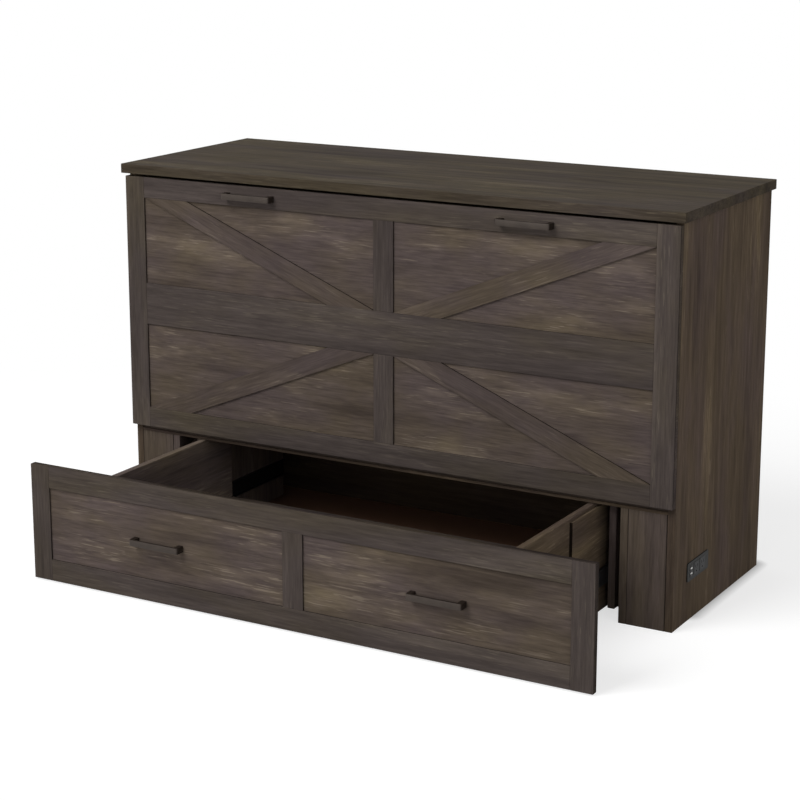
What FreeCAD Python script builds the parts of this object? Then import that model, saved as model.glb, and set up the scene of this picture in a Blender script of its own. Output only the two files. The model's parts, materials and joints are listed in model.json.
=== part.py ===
"""Chest-style wall bed: a low cabinet whose front panel folds down over a pulled-out drawer.

All sizes are millimetres. X runs along the front, Y goes back to the wall and Z goes up from the
floor. Formulas measure Y from the front plane of the cabinet's sides; every piece is then moved so
that the origin lies on the floor, in the middle of the whole object with its drawer out.
"""
import FreeCAD, Part
import os
import re
import Sketcher
from FreeCAD import Placement, Rotation, Vector

SIZES = {
    # Cabinet shell
    "body_width": (1600, "width over the side panels"),
    "body_depth": (583, "depth of the side panels"),
    "side_height": (1013, "height of the side panels"),
    "side_board": (20, "thickness of the side panels"),
    "back_board": (15, "thickness of the back panel"),
    "rear_rail_board": (18, "thickness of the top rear rail"),
    "rear_rail_height": (72, "height of the top rear rail"),
    "edge_break": (0.8, "bevel on the edges of the boards"),
    "fit_gap": (0.5, "play between pieces that slide into each other"),
    # Lid
    "lid_board": (25, "thickness of the lid"),
    "lid_overhang": (12, "overhang of the lid at each side"),
    "lid_front": (23, "overhang of the lid at the front"),
    # Hollow columns beside the drawer
    "column_height": (297, "height of the columns and underside of the deck"),
    "plinth_width": (103, "width of the board on a column's front"),
    "plinth_board": (18, "thickness of the board on a column's front"),
    "return_board": (20, "thickness of the strip behind a column's inner edge"),
    "return_depth": (80, "depth of the strip behind a column's inner edge"),
    "runner_spacer": (29, "spacer between return strip and runner board"),
    "runner_board": (19, "thickness of the board that carries a slide"),
    "runner_front": (42, "set-back of the runner boards"),
    "runner_foot": (17, "gap between floor and runner board"),
    # Deck
    "deck_skin": (8, "thickness of the panel under the deck"),
    "deck_board": (14.5, "thickness of the deck"),
    "deck_front": (3, "set-back of the deck"),
    "batten_width": (47, "width of the battens between the two deck panels"),
    "cleat_width": (20, "width of the cleats under the deck"),
    "cleat_height": (27, "height of the cleats under the deck"),
    # Folding front panel
    "door_gap": (1, "gap between front panel and cabinet"),
    "door_board": (14, "thickness of the front panel's core"),
    "door_relief": (5, "thickness of the applied frame and braces"),
    "door_lift": (20, "height of the front panel's lower edge over the columns"),
    "door_top_gap": (7, "gap between front panel and lid"),
    "door_stile": (60, "width of the outer stiles"),
    "door_rail": (55, "width of the top and bottom rails"),
    "door_mid_rail": (113, "width of the middle rail"),
    "door_mid_stile": (58, "width of the centre stiles"),
    "brace_run": (137, "width of a diagonal brace, measured along the rail"),
    # Drawer
    "drawer_pull": (437, "how far the drawer stands open"),
    "drawer_gap": (2, "gap between drawer front and cabinet when shut"),
    "drawer_core": (13, "thickness of the drawer front's core"),
    "drawer_relief": (5, "thickness of the frame on the drawer front"),
    "drawer_low": (4, "gap between floor and drawer front"),
    "drawer_top_gap": (4, "gap between drawer front and front panel"),
    "drawer_frame": (58, "width of the frame on the drawer front"),
    "drawer_board": (18, "thickness of the drawer sides"),
    "drawer_rear_gap": (8, "gap between the shut drawer and the back panel"),
    "drawer_side_low": (12, "gap between floor and drawer sides"),
    "drawer_side_gap": (1, "gap between the drawer sides and the deck"),
    "drawer_back_top": (105, "height of the drawer back's upper edge"),
    "drawer_floor": (9, "thickness of the drawer bottom"),
    "drawer_floor_low": (24, "underside of the drawer bottom"),
    "drawer_skid_width": (60, "width of the batten under the drawer bottom"),
    "drawer_skid_height": (16, "height of the batten under the drawer bottom"),
    "cheek_board": (8, "thickness of the cheek on a drawer side"),
    "cheek_length": (266, "length of the cheek's tall rear part"),
    "cheek_drop": (8, "step from the side's upper edge down to the cheek"),
    # Telescopic slides
    "slide_room": (13, "room for a slide between cheek and runner board"),
    "slide_height": (45, "height of a slide"),
    "slide_length": (400, "length of a slide"),
    "slide_level": (105, "height of the slides' middle"),
    "slide_sheet": (1.2, "thickness of the slide channels"),
    "slide_play": (0.3, "play between nested channels"),
    "slide_lip": (9.5, "depth of the outer channels' flanges"),
    # Pulls
    "pull_length": (148, "length of a pull"),
    "pull_reach": (27, "how far a pull stands out"),
    "pull_height": (16, "height of a pull's strap"),
    "pull_strap": (6, "thickness of a pull's strap"),
    "pull_post": (13, "width of a pull's posts"),
    "pull_corner": (5, "radius of a pull's corners"),
    "pull_inset": (400, "distance of a pull's middle from the end of its front"),
    "screw_radius": (2, "radius of the pull screws"),
    "screw_bite": (11, "depth of the pull screws in the posts"),
    "screw_head": (4, "radius of the screw heads"),
    "screw_head_height": (2.2, "height of the screw heads"),
    # Hinges
    "leaf": (2, "thickness of the hinge leaves"),
    "hinge_length": (80, "length of a hinge"),
    "hinge_mid": (26, "length of a hinge's middle knuckle"),
    "hinge_play": (0.4, "gap between knuckles"),
    "pin_radius": (1.5, "radius of the hinge pins"),
    "pin_play": (0.05, "radial clearance of a pin in the turning knuckle"),
    "knuckle": (3.5, "radius of the knuckles of lid and foot hinges"),
    "knuckle_clear": (0.3, "gap between a knuckle and the leaf opposite"),
    "fold_knuckle": (3, "radius of the knuckles of the front hinges"),
    "fold_setback": (14, "distance of the fold axis in front of the cabinet"),
    "fold_rise": (3.5, "height of the fold axis over the panel's lower edge"),
    "fold_leaf_deep": (46, "set-back of the deck leaf's rear edge"),
    "fold_leaf_tall": (48, "height of the leaf on the front panel"),
    "fold_inset": (200, "distance of the outer front hinges from the ends of the panel"),
    "lid_leaf": (44, "height of the lid hinge's lower leaf"),
    "lid_leaf_up": (19, "height of the lid hinge's upper leaf"),
    "lid_axis_drop": (0.25, "height of the side panels over the lid axis"),
    "lid_inset": (200, "distance of the outer lid hinges from the side panels' outer faces"),
    "tip_offset": (4.5, "distance of the foot axis behind the front panel"),
    "tip_drop": (6, "distance of the foot axis below the panel's upper edge"),
    "tip_leaf": (56, "height of the foot hinge's leaves"),
    "tip_inset": (150, "distance of the outer foot hinges from the ends of the foot board"),
    # Foot section
    "foot_inset": (30, "gap between foot board and side panel"),
    "foot_board": (18, "thickness of the foot board"),
    "foot_clear": (13, "gap between the folded foot board and the deck"),
    "foot_edge": (7.5, "distance of the foot board's hinged edge from its axis"),
    "stiffener_height": (20, "height of the foot board's stiffeners"),
    "stiffener_width": (50, "width of the foot board's stiffeners"),
    "stiffener_inset": (16, "distance of a stiffener from the foot board's far edge"),
    # Folding legs
    "leg_tube": (25, "width of a leg's tube"),
    "leg_place": (93.5, "distance of the leg axis from the foot board's far edge"),
    "leg_stand": (15, "distance of the leg axis from the foot board"),
    "leg_gap": (1.5, "gap between floor and leg with the bed unfolded"),
    "leg_cap": (6, "thickness of the cap under a leg"),
    "leg_inset": (110, "distance of a leg from the end of the foot board"),
    "leg_bar": (20, "width of the bar between the legs"),
    "leg_bar_inset": (17, "distance of the bar from the leg's lower end"),
    "bracket_sheet": (2.5, "thickness of the leg brackets"),
    "bracket_width": (44, "height of a leg bracket"),
    "bracket_play": (0.5, "gap between leg and bracket"),
    "leg_pin": (3, "radius of the leg pins"),
    # Catches
    "catch_width": (22, "width of a magnetic catch"),
    "catch_depth": (15, "depth of a magnetic catch"),
    "catch_height": (30, "height of a magnetic catch"),
    "catch_play": (0.3, "gap between a catch and its strike plate"),
    "catch_drop": (36, "distance of the catches' middle below the panel's upper edge"),
    "strike_board": (1.7, "thickness of the strike plates"),
    "strike_width": (16, "width of the strike plates"),
    # Power outlet
    "outlet_front": (83, "set-back of the outlet plate"),
    "outlet_width": (135, "width of the outlet plate"),
    "outlet_height": (48, "height of the outlet plate"),
    "outlet_low": (104, "height of the outlet plate's lower edge"),
    "outlet_board": (3, "thickness of the outlet plate"),
    "outlet_rim": (7, "rim of the outlet plate over its cut-out"),
    "outlet_corner": (5, "corner radius of the outlet plate"),
    "outlet_deep": (38, "depth of the box behind the outlet plate"),
    "socket_size": (32, "width of a socket insert"),
    "socket_pitch": (38, "distance from socket to socket"),
    "socket_first": (57, "distance of the first socket from the plate's front edge"),
    "insert_deep": (9, "depth of the inserts"),
    "insert_proud": (0.6, "how far the inserts stand out of the plate"),
    "insert_wall": (1.2, "wall behind a socket's slots"),
    "slot_width": (2.2, "width of a socket's slots"),
    "slot_height": (8, "height of a socket's slots"),
    "slot_spread": (12.7, "distance between a socket's two slots"),
    "ground_radius": (2.4, "radius of a socket's earth hole"),
    "ground_drop": (9, "distance of the earth hole below the slots"),
    "usb_place": (25, "distance of the charging ports from the plate's front edge"),
    "usb_width": (18, "width of the charging insert"),
    "usb_height": (30, "height of the charging insert"),
    "port_width": (12.6, "width of a charging port"),
    "port_height": (5.2, "height of a charging port"),
    "port_pitch": (13, "distance between the charging ports"),
    "port_deep": (7, "depth of the charging ports"),
    # Wall fixing
    "anchor_inset": (300, "distance of the wall fixing holes from the side panels' outer faces"),
    "anchor_radius": (3.5, "radius of the wall fixing holes"),
    "anchor_drop": (33, "distance of the wall fixing holes below the side panels' top"),
}

doc = FreeCAD.newDocument("wall_bed")
sheet = doc.addObject("Spreadsheet::Sheet", "sizes")
for row, (alias, (value, meaning)) in enumerate(SIZES.items(), start=1):
    sheet.set(f"A{row}", meaning)
    sheet.set(f"B{row}", str(value))
    sheet.setAlias(f"B{row}", alias)
doc.recompute()

# Named formulas: places across the width, measured from the middle
SIDE_OUT = "body_width / 2"
SIDE_IN = f"({SIDE_OUT} - side_board)"
PLINTH_IN = f"({SIDE_IN} - plinth_width)"
RETURN_IN = f"({PLINTH_IN} - return_board)"
RUNNER_OUT = f"({RETURN_IN} - runner_spacer)"
RUNNER_IN = f"({RUNNER_OUT} - runner_board)"
CHEEK_OUT = f"({RUNNER_IN} - slide_room)"
DRAWER_OUT = f"({CHEEK_OUT} - cheek_board)"
DRAWER_IN = f"({DRAWER_OUT} - drawer_board)"
PULL_MIDDLE = f"({SIDE_OUT} - pull_inset)"
ANCHOR = f"({SIDE_OUT} - anchor_inset)"
FOOT_END = f"({SIDE_IN} - foot_inset)"
LEG_MIDDLE = f"({FOOT_END} - leg_inset)"
FOLD_STATIONS = {"left": f"(fold_inset - {SIDE_OUT})", "centre": "0", "right": f"({SIDE_OUT} - fold_inset)"}
LID_STATIONS = {"left": f"(lid_inset - {SIDE_OUT})", "centre": "0", "right": f"({SIDE_OUT} - lid_inset)"}
TIP_STATIONS = {"left": f"(tip_inset - {FOOT_END})", "centre": "0", "right": f"({FOOT_END} - tip_inset)"}

# Named formulas: depths, measured from the front plane of the cabinet's sides
BACK_FRONT = "(body_depth - back_board)"
DOOR_BACK = "(-door_gap)"
DOOR_CORE = f"({DOOR_BACK} - door_board)"
DOOR_FACE = f"({DOOR_CORE} - door_relief)"
DRAWER_FRONT_BACK = "(-drawer_gap - drawer_pull)"
DRAWER_CORE = f"({DRAWER_FRONT_BACK} - drawer_core)"
DRAWER_FACE = f"({DRAWER_CORE} - drawer_relief)"
DRAWER_REAR = f"({BACK_FRONT} - drawer_rear_gap - drawer_pull)"
FOLD_Y = "(-fold_setback)"
LID_Y = "(body_depth + knuckle)"
TIP_Y = f"({DOOR_BACK} + tip_offset)"
FOOT_NEAR = f"({TIP_Y} + tip_offset)"
FOOT_FAR = f"({FOOT_NEAR} + foot_board)"
LEG_Y = f"({FOOT_FAR} + leg_stand)"
FRONTMOST = f"({DRAWER_CORE} - pull_reach)"
REARMOST = f"({LID_Y} + knuckle)"
MIDDLE = f"(({FRONTMOST} + {REARMOST}) / 2)"
OUTLET_CUT_Y = ("outlet_front + outlet_rim", "outlet_front + outlet_width - outlet_rim")

# Named formulas: heights above the floor
DOOR_LOW = "(column_height + door_lift)"
DOOR_TOP = "(side_height - door_top_gap)"
DOOR_MIDDLE = f"(({DOOR_LOW} + {DOOR_TOP}) / 2)"
FOLD_Z = f"({DOOR_LOW} + fold_rise)"
DECK_TOP = f"({FOLD_Z} + fold_setback - door_gap)"
DECK_LOW = f"({DECK_TOP} - deck_board)"
SKIN_TOP = "(column_height + deck_skin)"
LID_Z = "(side_height - lid_axis_drop)"
TIP_Z = f"({DOOR_TOP} - tip_drop)"
FOOT_TOP = f"({TIP_Z} - foot_edge)"
FOOT_LOW = f"({DECK_TOP} + foot_clear)"
LEG_Z = f"({FOOT_LOW} + leg_place)"
LEG_AXIS_OPEN = f"({FOLD_Z} - {FOLD_Y} + 2 * {TIP_Y} - {LEG_Y})"
LEG_END = f"({LEG_Z} + {LEG_AXIS_OPEN} - leg_gap - leg_cap)"
DRAWER_TOP = f"({DOOR_LOW} - drawer_top_gap)"
DRAWER_SIDE_TOP = "(column_height - drawer_side_gap)"
PULL_ON_DOOR = f"({DOOR_TOP} - door_rail / 2)"
PULL_ON_DRAWER = f"((drawer_low + {DRAWER_TOP}) / 2)"
OUTLET_CUT_Z = ("outlet_low + outlet_rim", "outlet_low + outlet_height - outlet_rim")

TOUCH = 0.01
SCREW_SIDES = 8
KNUCKLE_SIDES = 12
nodes = []


def linked(formula):
    """The formula with each alias pointing at its cell."""
    return re.sub(r"[a-z]\w*", lambda word: "sizes." + word.group(0), formula)


def bind(item, prop, formula):
    item.setExpression(prop, linked(formula))


def place(item, x, y, z):
    """Bind an object's place; y is moved into the frame of the whole object."""
    bind(item, "Placement.Base.x", x)
    bind(item, "Placement.Base.y", f"({y}) - {MIDDLE}")
    bind(item, "Placement.Base.z", z)


def keep(item):
    """Mark an object as a sub-part that is written to its own file."""
    nodes.append(item)
    return item


def group(label, items):
    """One sub-part made of like pieces that stay separate solids."""
    compound = doc.addObject("Part::Compound", label)
    compound.Links = items
    return keep(compound)


def mirrored(item, label):
    """The same piece on the other side of the middle."""
    copy = doc.addObject("Part::Mirroring", label)
    copy.Source = item
    copy.Normal = Vector(1, 0, 0)
    return copy


def board(label, x, y, z):
    """A board with bevelled edges between the low and high formulas of x, y and z."""
    body = doc.addObject("PartDesign::Body", label)
    block = body.newObject("PartDesign::AdditiveBox", label + "_block")
    for prop, (low, high) in zip(("Length", "Width", "Height"), (x, y, z)):
        bind(block, prop, f"({high}) - ({low})")
    doc.recompute()
    bevel = body.newObject("PartDesign::Chamfer", label + "_bevel")
    bevel.Base = (block, [])
    bevel.UseAllEdges = True
    bind(bevel, "Size", "edge_break")
    place(body, x[0], y[0], z[0])
    return body


def block(label, x, y, z):
    """A plain sharp-edged block between the low and high formulas of x, y and z."""
    solid = doc.addObject("Part::Box", label)
    for prop, (low, high) in zip(("Length", "Width", "Height"), (x, y, z)):
        bind(solid, prop, f"({high}) - ({low})")
    place(solid, x[0], y[0], z[0])
    return solid


def rod(label, x, y, z, radius):
    """A round bar along X, between the low and high formulas of x."""
    solid = doc.addObject("Part::Cylinder", label)
    solid.Placement = Placement(Vector(), Rotation(Vector(0, 1, 0), 90))
    bind(solid, "Radius", radius)
    bind(solid, "Height", f"({x[1]}) - ({x[0]})")
    place(solid, x[0], y, z)
    return solid


def bolt(label, x, y, z, radius):
    """A round bar along Y, between the low and high formulas of y."""
    solid = doc.addObject("Part::Cylinder", label)
    solid.Placement = Placement(Vector(), Rotation(Vector(1, 0, 0), -90))
    bind(solid, "Radius", radius)
    bind(solid, "Height", f"({y[1]}) - ({y[0]})")
    place(solid, x, y[0], z)
    return solid


def turned(solid, axis, angle, length, radius, sides):
    """Bind a many-sided bar, turned to lie along its axis."""
    solid.Placement = Placement(Vector(), Rotation(axis, angle))
    solid.Polygon = sides
    bind(solid, "Circumradius", radius)
    bind(solid, "Height", f"({length[1]}) - ({length[0]})")
    return solid


def knuckle_bar(label, x, y, z, radius):
    """A many-sided bar along X for a hinge's knuckle."""
    solid = doc.addObject("Part::Prism", label)
    turned(solid, Vector(0, 1, 0), 90, x, radius, KNUCKLE_SIDES)
    place(solid, x[0], y, z)
    return solid


def screw_bar(label, x, y, z, radius):
    """A many-sided bar along Y for a small screw or its hole."""
    solid = doc.addObject("Part::Prism", label)
    turned(solid, Vector(1, 0, 0), -90, y, radius, SCREW_SIDES)
    place(solid, x, y[0], z)
    return solid


def fused(label, items):
    union = doc.addObject("Part::MultiFuse", label)
    union.Shapes = items
    union.Refine = True
    return union


def cut(label, base, tools):
    """The base with every tool taken out of it."""
    tool = tools[0]
    if len(tools) > 1:
        tool = doc.addObject("Part::Compound", label + "_tools")
        tool.Links = tools
    rest = doc.addObject("Part::Cut", label)
    rest.Base = base
    rest.Tool = tool
    return rest


def outline(body, name, plane, points, level="0"):
    """A closed sketch of straight lines on one of the body's planes, its corners bound to formulas."""
    sketch = body.newObject("Sketcher::SketchObject", name)
    support = [item for item in body.Origin.OriginFeatures if item.Role == plane][0]
    sketch.AttachmentSupport = [(support, "")]
    sketch.MapMode = "FlatFace"
    bind(sketch, "AttachmentOffset.Base.z", level)
    count = len(points)
    start = [Rotation(Vector(0, 0, 1), 360 * i / count).multVec(Vector(100, 0, 0)) for i in range(count)]
    for i in range(count):
        sketch.addGeometry(Part.LineSegment(start[i], start[(i + 1) % count]), False)
    for i in range(count):
        sketch.addConstraint(Sketcher.Constraint("Coincident", i, 2, (i + 1) % count, 1))
    for i, corner in enumerate(points):
        for kind, along, formula in zip(("DistanceX", "DistanceY"), (start[i].x, start[i].y), corner):
            index = sketch.addConstraint(Sketcher.Constraint(kind, -1, 1, i, 1, along))
            sketch.renameConstraint(index, f"{kind}_{i}")
            bind(sketch, f"Constraints.{kind}_{i}", formula)
    return sketch


def prism(label, plane, points, low, high):
    """A body padded from a sketch, from the low to the high formula along the plane's normal."""
    body = doc.addObject("PartDesign::Body", label)
    sketch = outline(body, label + "_outline", plane, points, low)
    pad = body.newObject("PartDesign::Pad", label + "_pad")
    pad.Profile = sketch
    bind(pad, "Length", f"({high}) - ({low})")
    place(body, "0", "0", "0")
    return body


def eased(body, name, radius, choose):
    """Round the edges of the body's last feature that the function chooses."""
    doc.recompute()
    tip = body.Tip
    whole = tip.Shape.BoundBox
    edges = [f"Edge{i}" for i, edge in enumerate(tip.Shape.Edges, start=1) if choose(edge.BoundBox, whole)]
    fillet = body.newObject("PartDesign::Fillet", name)
    fillet.Base = (tip, edges)
    bind(fillet, "Radius", radius)
    return body


def upright_at_front(edge, whole):
    """Whether an edge's box stands upright on the front of the whole box."""
    return edge.ZLength > TOUCH and edge.YMax - whole.YMin < TOUCH


def along_width(edge, whole):
    """Whether an edge's box runs all along X."""
    return whole.XLength - edge.XLength < TOUCH


def centred(middle, width):
    """Low and high formula of a span about its middle."""
    return (f"{middle} - ({width}) / 2", f"{middle} + ({width}) / 2")


def right_span(inner, outer):
    return (inner, outer)


def left_span(inner, outer):
    return (f"-({outer})", f"-({inner})")


SIDES = {"left": left_span, "right": right_span}
BOTH = {"left": "-1", "right": "1"}


def fixing_holes(label, depth):
    """Two round cutters through the back, on the wall fixing line."""
    level = "side_height - anchor_drop"
    return [bolt(f"{label}_{side}", f"{sign} * {ANCHOR}", depth, level, "anchor_radius")
            for side, sign in BOTH.items()]


def cabinet_shell():
    """Side panels, the right one with a cut-out for the outlet, and the back with its top rail."""
    depth = ("0", "body_depth")
    height = ("0", "side_height")
    keep(board("left_side_panel", left_span(SIDE_IN, SIDE_OUT), depth, height))
    right = board("right_side_board", right_span(SIDE_IN, SIDE_OUT), depth, height)
    through = (f"{SIDE_IN} - fit_gap", f"{SIDE_OUT} + fit_gap")
    opening = block("outlet_cutout", through, OUTLET_CUT_Y, OUTLET_CUT_Z)
    keep(cut("right_side_panel", right, [opening]))
    inside = (f"-{SIDE_IN}", SIDE_IN)
    past = (f"{BACK_FRONT} - fit_gap", "body_depth + fit_gap")
    sheet_panel = board("back_board", inside, (BACK_FRONT, "body_depth"), height)
    keep(cut("back_panel", sheet_panel, fixing_holes("back_fixing", past)))
    rail_front = f"({BACK_FRONT} - rear_rail_board)"
    rail = board("rear_rail_board_piece", inside, (rail_front, BACK_FRONT),
                 ("side_height - fit_gap - rear_rail_height", "side_height - fit_gap"))
    past = (f"{rail_front} - fit_gap", f"{BACK_FRONT} + fit_gap")
    keep(cut("top_rear_rail", rail, fixing_holes("rail_fixing", past)))


def columns():
    tall = ("0", "column_height")
    hung = ("runner_foot", "column_height")
    runner_depth = ("runner_front", "runner_front + slide_length")
    spacer_depth = ("runner_front + return_board", "return_depth")
    pieces = {"plinth_boards": (PLINTH_IN, SIDE_IN, ("0", "plinth_board"), tall),
              "return_strips": (RETURN_IN, PLINTH_IN, ("0", "return_depth"), tall),
              "runner_spacers": (RUNNER_OUT, RETURN_IN, spacer_depth, hung),
              "runner_boards": (RUNNER_IN, RUNNER_OUT, runner_depth, hung),
              "deck_cleats": (f"{SIDE_IN} - cleat_width", SIDE_IN, ("plinth_board", BACK_FRONT),
                              ("column_height - cleat_height", "column_height"))}
    for label, (inner, outer, depth, height) in pieces.items():
        group(label, [board(f"{label}_{side}", span(inner, outer), depth, height)
                      for side, span in SIDES.items()])


def deck():
    inside = (f"-{SIDE_IN}", SIDE_IN)
    keep(board("deck_bottom_panel", inside, ("0", BACK_FRONT), ("column_height", SKIN_TOP)))
    rows = {"front": "deck_front",
            "middle": f"(deck_front + {BACK_FRONT} - batten_width) / 2",
            "rear": f"{BACK_FRONT} - batten_width"}
    group("deck_battens", [board(f"deck_batten_{row}", inside, (low, f"{low} + batten_width"),
                                 (SKIN_TOP, DECK_LOW)) for row, low in rows.items()])
    slab = board("deck_slab", inside, ("deck_front", BACK_FRONT), (DECK_LOW, DECK_TOP))
    recesses = [block(f"leaf_recess_{name}", centred(middle, "hinge_length + 2 * fit_gap"),
                      ("deck_front - fit_gap", "fold_leaf_deep + fit_gap"),
                      (f"{DECK_LOW} - fit_gap", f"{DECK_LOW} + leaf + fit_gap"))
                for name, middle in FOLD_STATIONS.items()]
    keep(cut("bed_deck", slab, recesses))


def lid():
    keep(board("lid_slab", (f"-({SIDE_OUT} + lid_overhang)", f"{SIDE_OUT} + lid_overhang"),
               ("-lid_front", "body_depth"), ("side_height", "side_height + lid_board")))


def front_panel():
    """Core board with hinge rebates, applied rails and stiles, and a brace across each field."""
    screws = pull_screws("door", (DOOR_CORE, DOOR_BACK), DOOR_FACE, PULL_ON_DOOR)
    rebate_top = f"{FOLD_Z} + fold_knuckle + knuckle_clear"
    rebate_z = (f"{DOOR_LOW} - fit_gap", rebate_top)
    rebate_width = "hinge_length + 4 * fit_gap"
    core = board("door_core_board", (f"-{SIDE_OUT}", SIDE_OUT), (DOOR_CORE, DOOR_BACK), (DOOR_LOW, DOOR_TOP))
    rebates = [block(f"door_rebate_{name}", centred(middle, rebate_width),
                     (f"{DOOR_CORE} - fit_gap", f"{DOOR_BACK} + fit_gap"), rebate_z)
               for name, middle in FOLD_STATIONS.items()]
    keep(cut("door_core", core, rebates + screw_holes("door_core", DOOR_CORE, DOOR_BACK, PULL_ON_DOOR)))

    relief = (DOOR_FACE, DOOR_CORE)
    stile_in = f"({SIDE_OUT} - door_stile)"
    between = (f"-{stile_in}", stile_in)
    group("door_stiles", [board(f"door_stile_{side}", span(stile_in, SIDE_OUT), relief, (DOOR_LOW, DOOR_TOP))
                          for side, span in SIDES.items()])
    low_field = (f"({DOOR_LOW} + door_rail)", f"({DOOR_MIDDLE} - door_mid_rail / 2)")
    high_field = (f"({DOOR_MIDDLE} + door_mid_rail / 2)", f"({DOOR_TOP} - door_rail)")
    bottom = board("door_bottom_rail_piece", between, relief, (DOOR_LOW, low_field[0]))
    knuckle_room = [block(f"rail_rebate_{name}", centred(middle, rebate_width),
                          (f"{FOLD_Y} - fold_knuckle - knuckle_clear", f"{DOOR_CORE} + fit_gap"), rebate_z)
                    for name, middle in FOLD_STATIONS.items()]
    top = board("door_top_rail_piece", between, relief, (high_field[1], DOOR_TOP))
    group("door_rails", [
        cut("door_bottom_rail", bottom, knuckle_room),
        board("door_middle_rail", between, relief, (low_field[1], high_field[0])),
        cut("door_top_rail", top, screw_holes("door_top_rail", DOOR_FACE, DOOR_CORE, PULL_ON_DOOR))])
    centre = centred("0", "door_mid_stile")
    group("door_centre_stiles", [board(f"door_centre_stile_{name}", centre, relief, field)
                                 for name, field in (("lower", low_field), ("upper", high_field))])
    braces = []
    for side, sign in BOTH.items():
        outer = f"{sign} * {stile_in}"
        inner = f"{sign} * door_mid_stile / 2"
        for name, start, end in (("lower", *low_field), ("upper", *reversed(high_field))):
            corners = [(outer, start), (f"{outer} - {sign} * brace_run", start),
                       (inner, end), (f"{inner} + {sign} * brace_run", end)]
            braces.append(prism(f"door_brace_{side}_{name}", "XZ_Plane", corners,
                                f"-{DOOR_CORE}", f"-{DOOR_FACE}"))
    group("door_braces", braces)
    pulls("door", DOOR_FACE, PULL_ON_DOOR)
    group("door_handle_screws", screws)


def drawer():
    front = (DRAWER_CORE, DRAWER_FRONT_BACK)
    height = ("drawer_low", DRAWER_TOP)
    core = board("drawer_front_board", (f"-{SIDE_OUT}", SIDE_OUT), front, height)
    keep(cut("drawer_front_core", core, screw_holes("drawer_front", *front, PULL_ON_DRAWER)))
    relief = (DRAWER_FACE, DRAWER_CORE)
    stile_in = f"({SIDE_OUT} - drawer_frame)"
    between = (f"-{stile_in}", stile_in)
    field = ("drawer_low + drawer_frame", f"{DRAWER_TOP} - drawer_frame")
    stiles = [board(f"drawer_stile_{side}", span(stile_in, SIDE_OUT), relief, height)
              for side, span in SIDES.items()]
    stiles.append(board("drawer_stile_centre", centred("0", "drawer_frame"), relief, field))
    group("drawer_front_stiles", stiles)
    group("drawer_front_rails", [board("drawer_rail_lower", between, relief, ("drawer_low", field[0])),
                                 board("drawer_rail_upper", between, relief, (field[1], DRAWER_TOP))])
    long_side = (DRAWER_FRONT_BACK, DRAWER_REAR)
    for side, span in SIDES.items():
        keep(board(f"{side}_drawer_side", span(DRAWER_IN, DRAWER_OUT), long_side,
                   ("drawer_side_low", DRAWER_SIDE_TOP)))
    inside = (f"-{DRAWER_IN}", DRAWER_IN)
    back_front = f"({DRAWER_REAR} - drawer_board)"
    floor_length = (DRAWER_FRONT_BACK, back_front)
    keep(board("drawer_back", inside, (back_front, DRAWER_REAR), ("drawer_side_low", "drawer_back_top")))
    keep(board("drawer_bottom", inside, floor_length,
               ("drawer_floor_low", "drawer_floor_low + drawer_floor")))
    keep(board("drawer_skid", centred("0", "drawer_skid_width"), floor_length,
               ("drawer_floor_low - drawer_skid_height", "drawer_floor_low")))
    right = drawer_cheek()
    group("drawer_cheeks", [right, mirrored(right, "drawer_cheek_left")])
    pulls("drawer", DRAWER_CORE, PULL_ON_DRAWER)
    group("drawer_handle_screws", pull_screws("drawer", front, DRAWER_CORE, PULL_ON_DRAWER))


def drawer_cheek():
    """Tall at the rear, with a low tongue in front that carries the slide."""
    tongue_front = "(runner_front - drawer_pull)"
    step = f"({DRAWER_REAR} - cheek_length)"
    tongue_low = "(slide_level - slide_height / 2)"
    tongue_top = "(slide_level + slide_height / 2)"
    top = f"({DRAWER_SIDE_TOP} - cheek_drop)"
    corners = [(tongue_front, tongue_low), (step, tongue_low), (step, "drawer_side_low"),
               (DRAWER_REAR, "drawer_side_low"), (DRAWER_REAR, top), (step, top),
               (step, tongue_top), (tongue_front, tongue_top)]
    return prism("drawer_cheek_right", "YZ_Plane", corners, DRAWER_OUT, CHEEK_OUT)


def channel(label, web, sign, lip, half, front):
    """A pair of slide channels, with flanges that reach from the web to the lip on the sign's side."""
    sheet_in = f"({web} {sign} slide_sheet)"
    low = f"(slide_level - ({half}))"
    top = f"(slide_level + ({half}))"
    corners = [(web, low), (lip, low), (lip, f"{low} + slide_sheet"), (sheet_in, f"{low} + slide_sheet"),
               (sheet_in, f"{top} - slide_sheet"), (lip, f"{top} - slide_sheet"), (lip, top), (web, top)]
    right = prism(f"{label}_right", "XZ_Plane", corners, f"-({front} + slide_length)", f"-({front})")
    return [right, mirrored(right, f"{label}_left")]


def slides():
    """Three nested channels on each side; the middle one moves half as far as the drawer."""
    step = "slide_sheet + slide_play"
    middle_web = f"({RUNNER_IN} - ({step}))"
    group("slide_cabinet_members",
          channel("cabinet_channel", RUNNER_IN, "-", f"({RUNNER_IN} - slide_lip)", "slide_height / 2",
                  "runner_front"))
    group("slide_middle_members",
          channel("middle_channel", middle_web, "-", f"({middle_web} - slide_lip + slide_play)",
                  f"slide_height / 2 - ({step})", "runner_front - drawer_pull / 2"))
    group("slide_drawer_members",
          channel("drawer_channel", CHEEK_OUT, "+", f"({CHEEK_OUT} + slide_lip)",
                  f"slide_height / 2 - 2 * ({step})", "runner_front - drawer_pull"))


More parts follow.
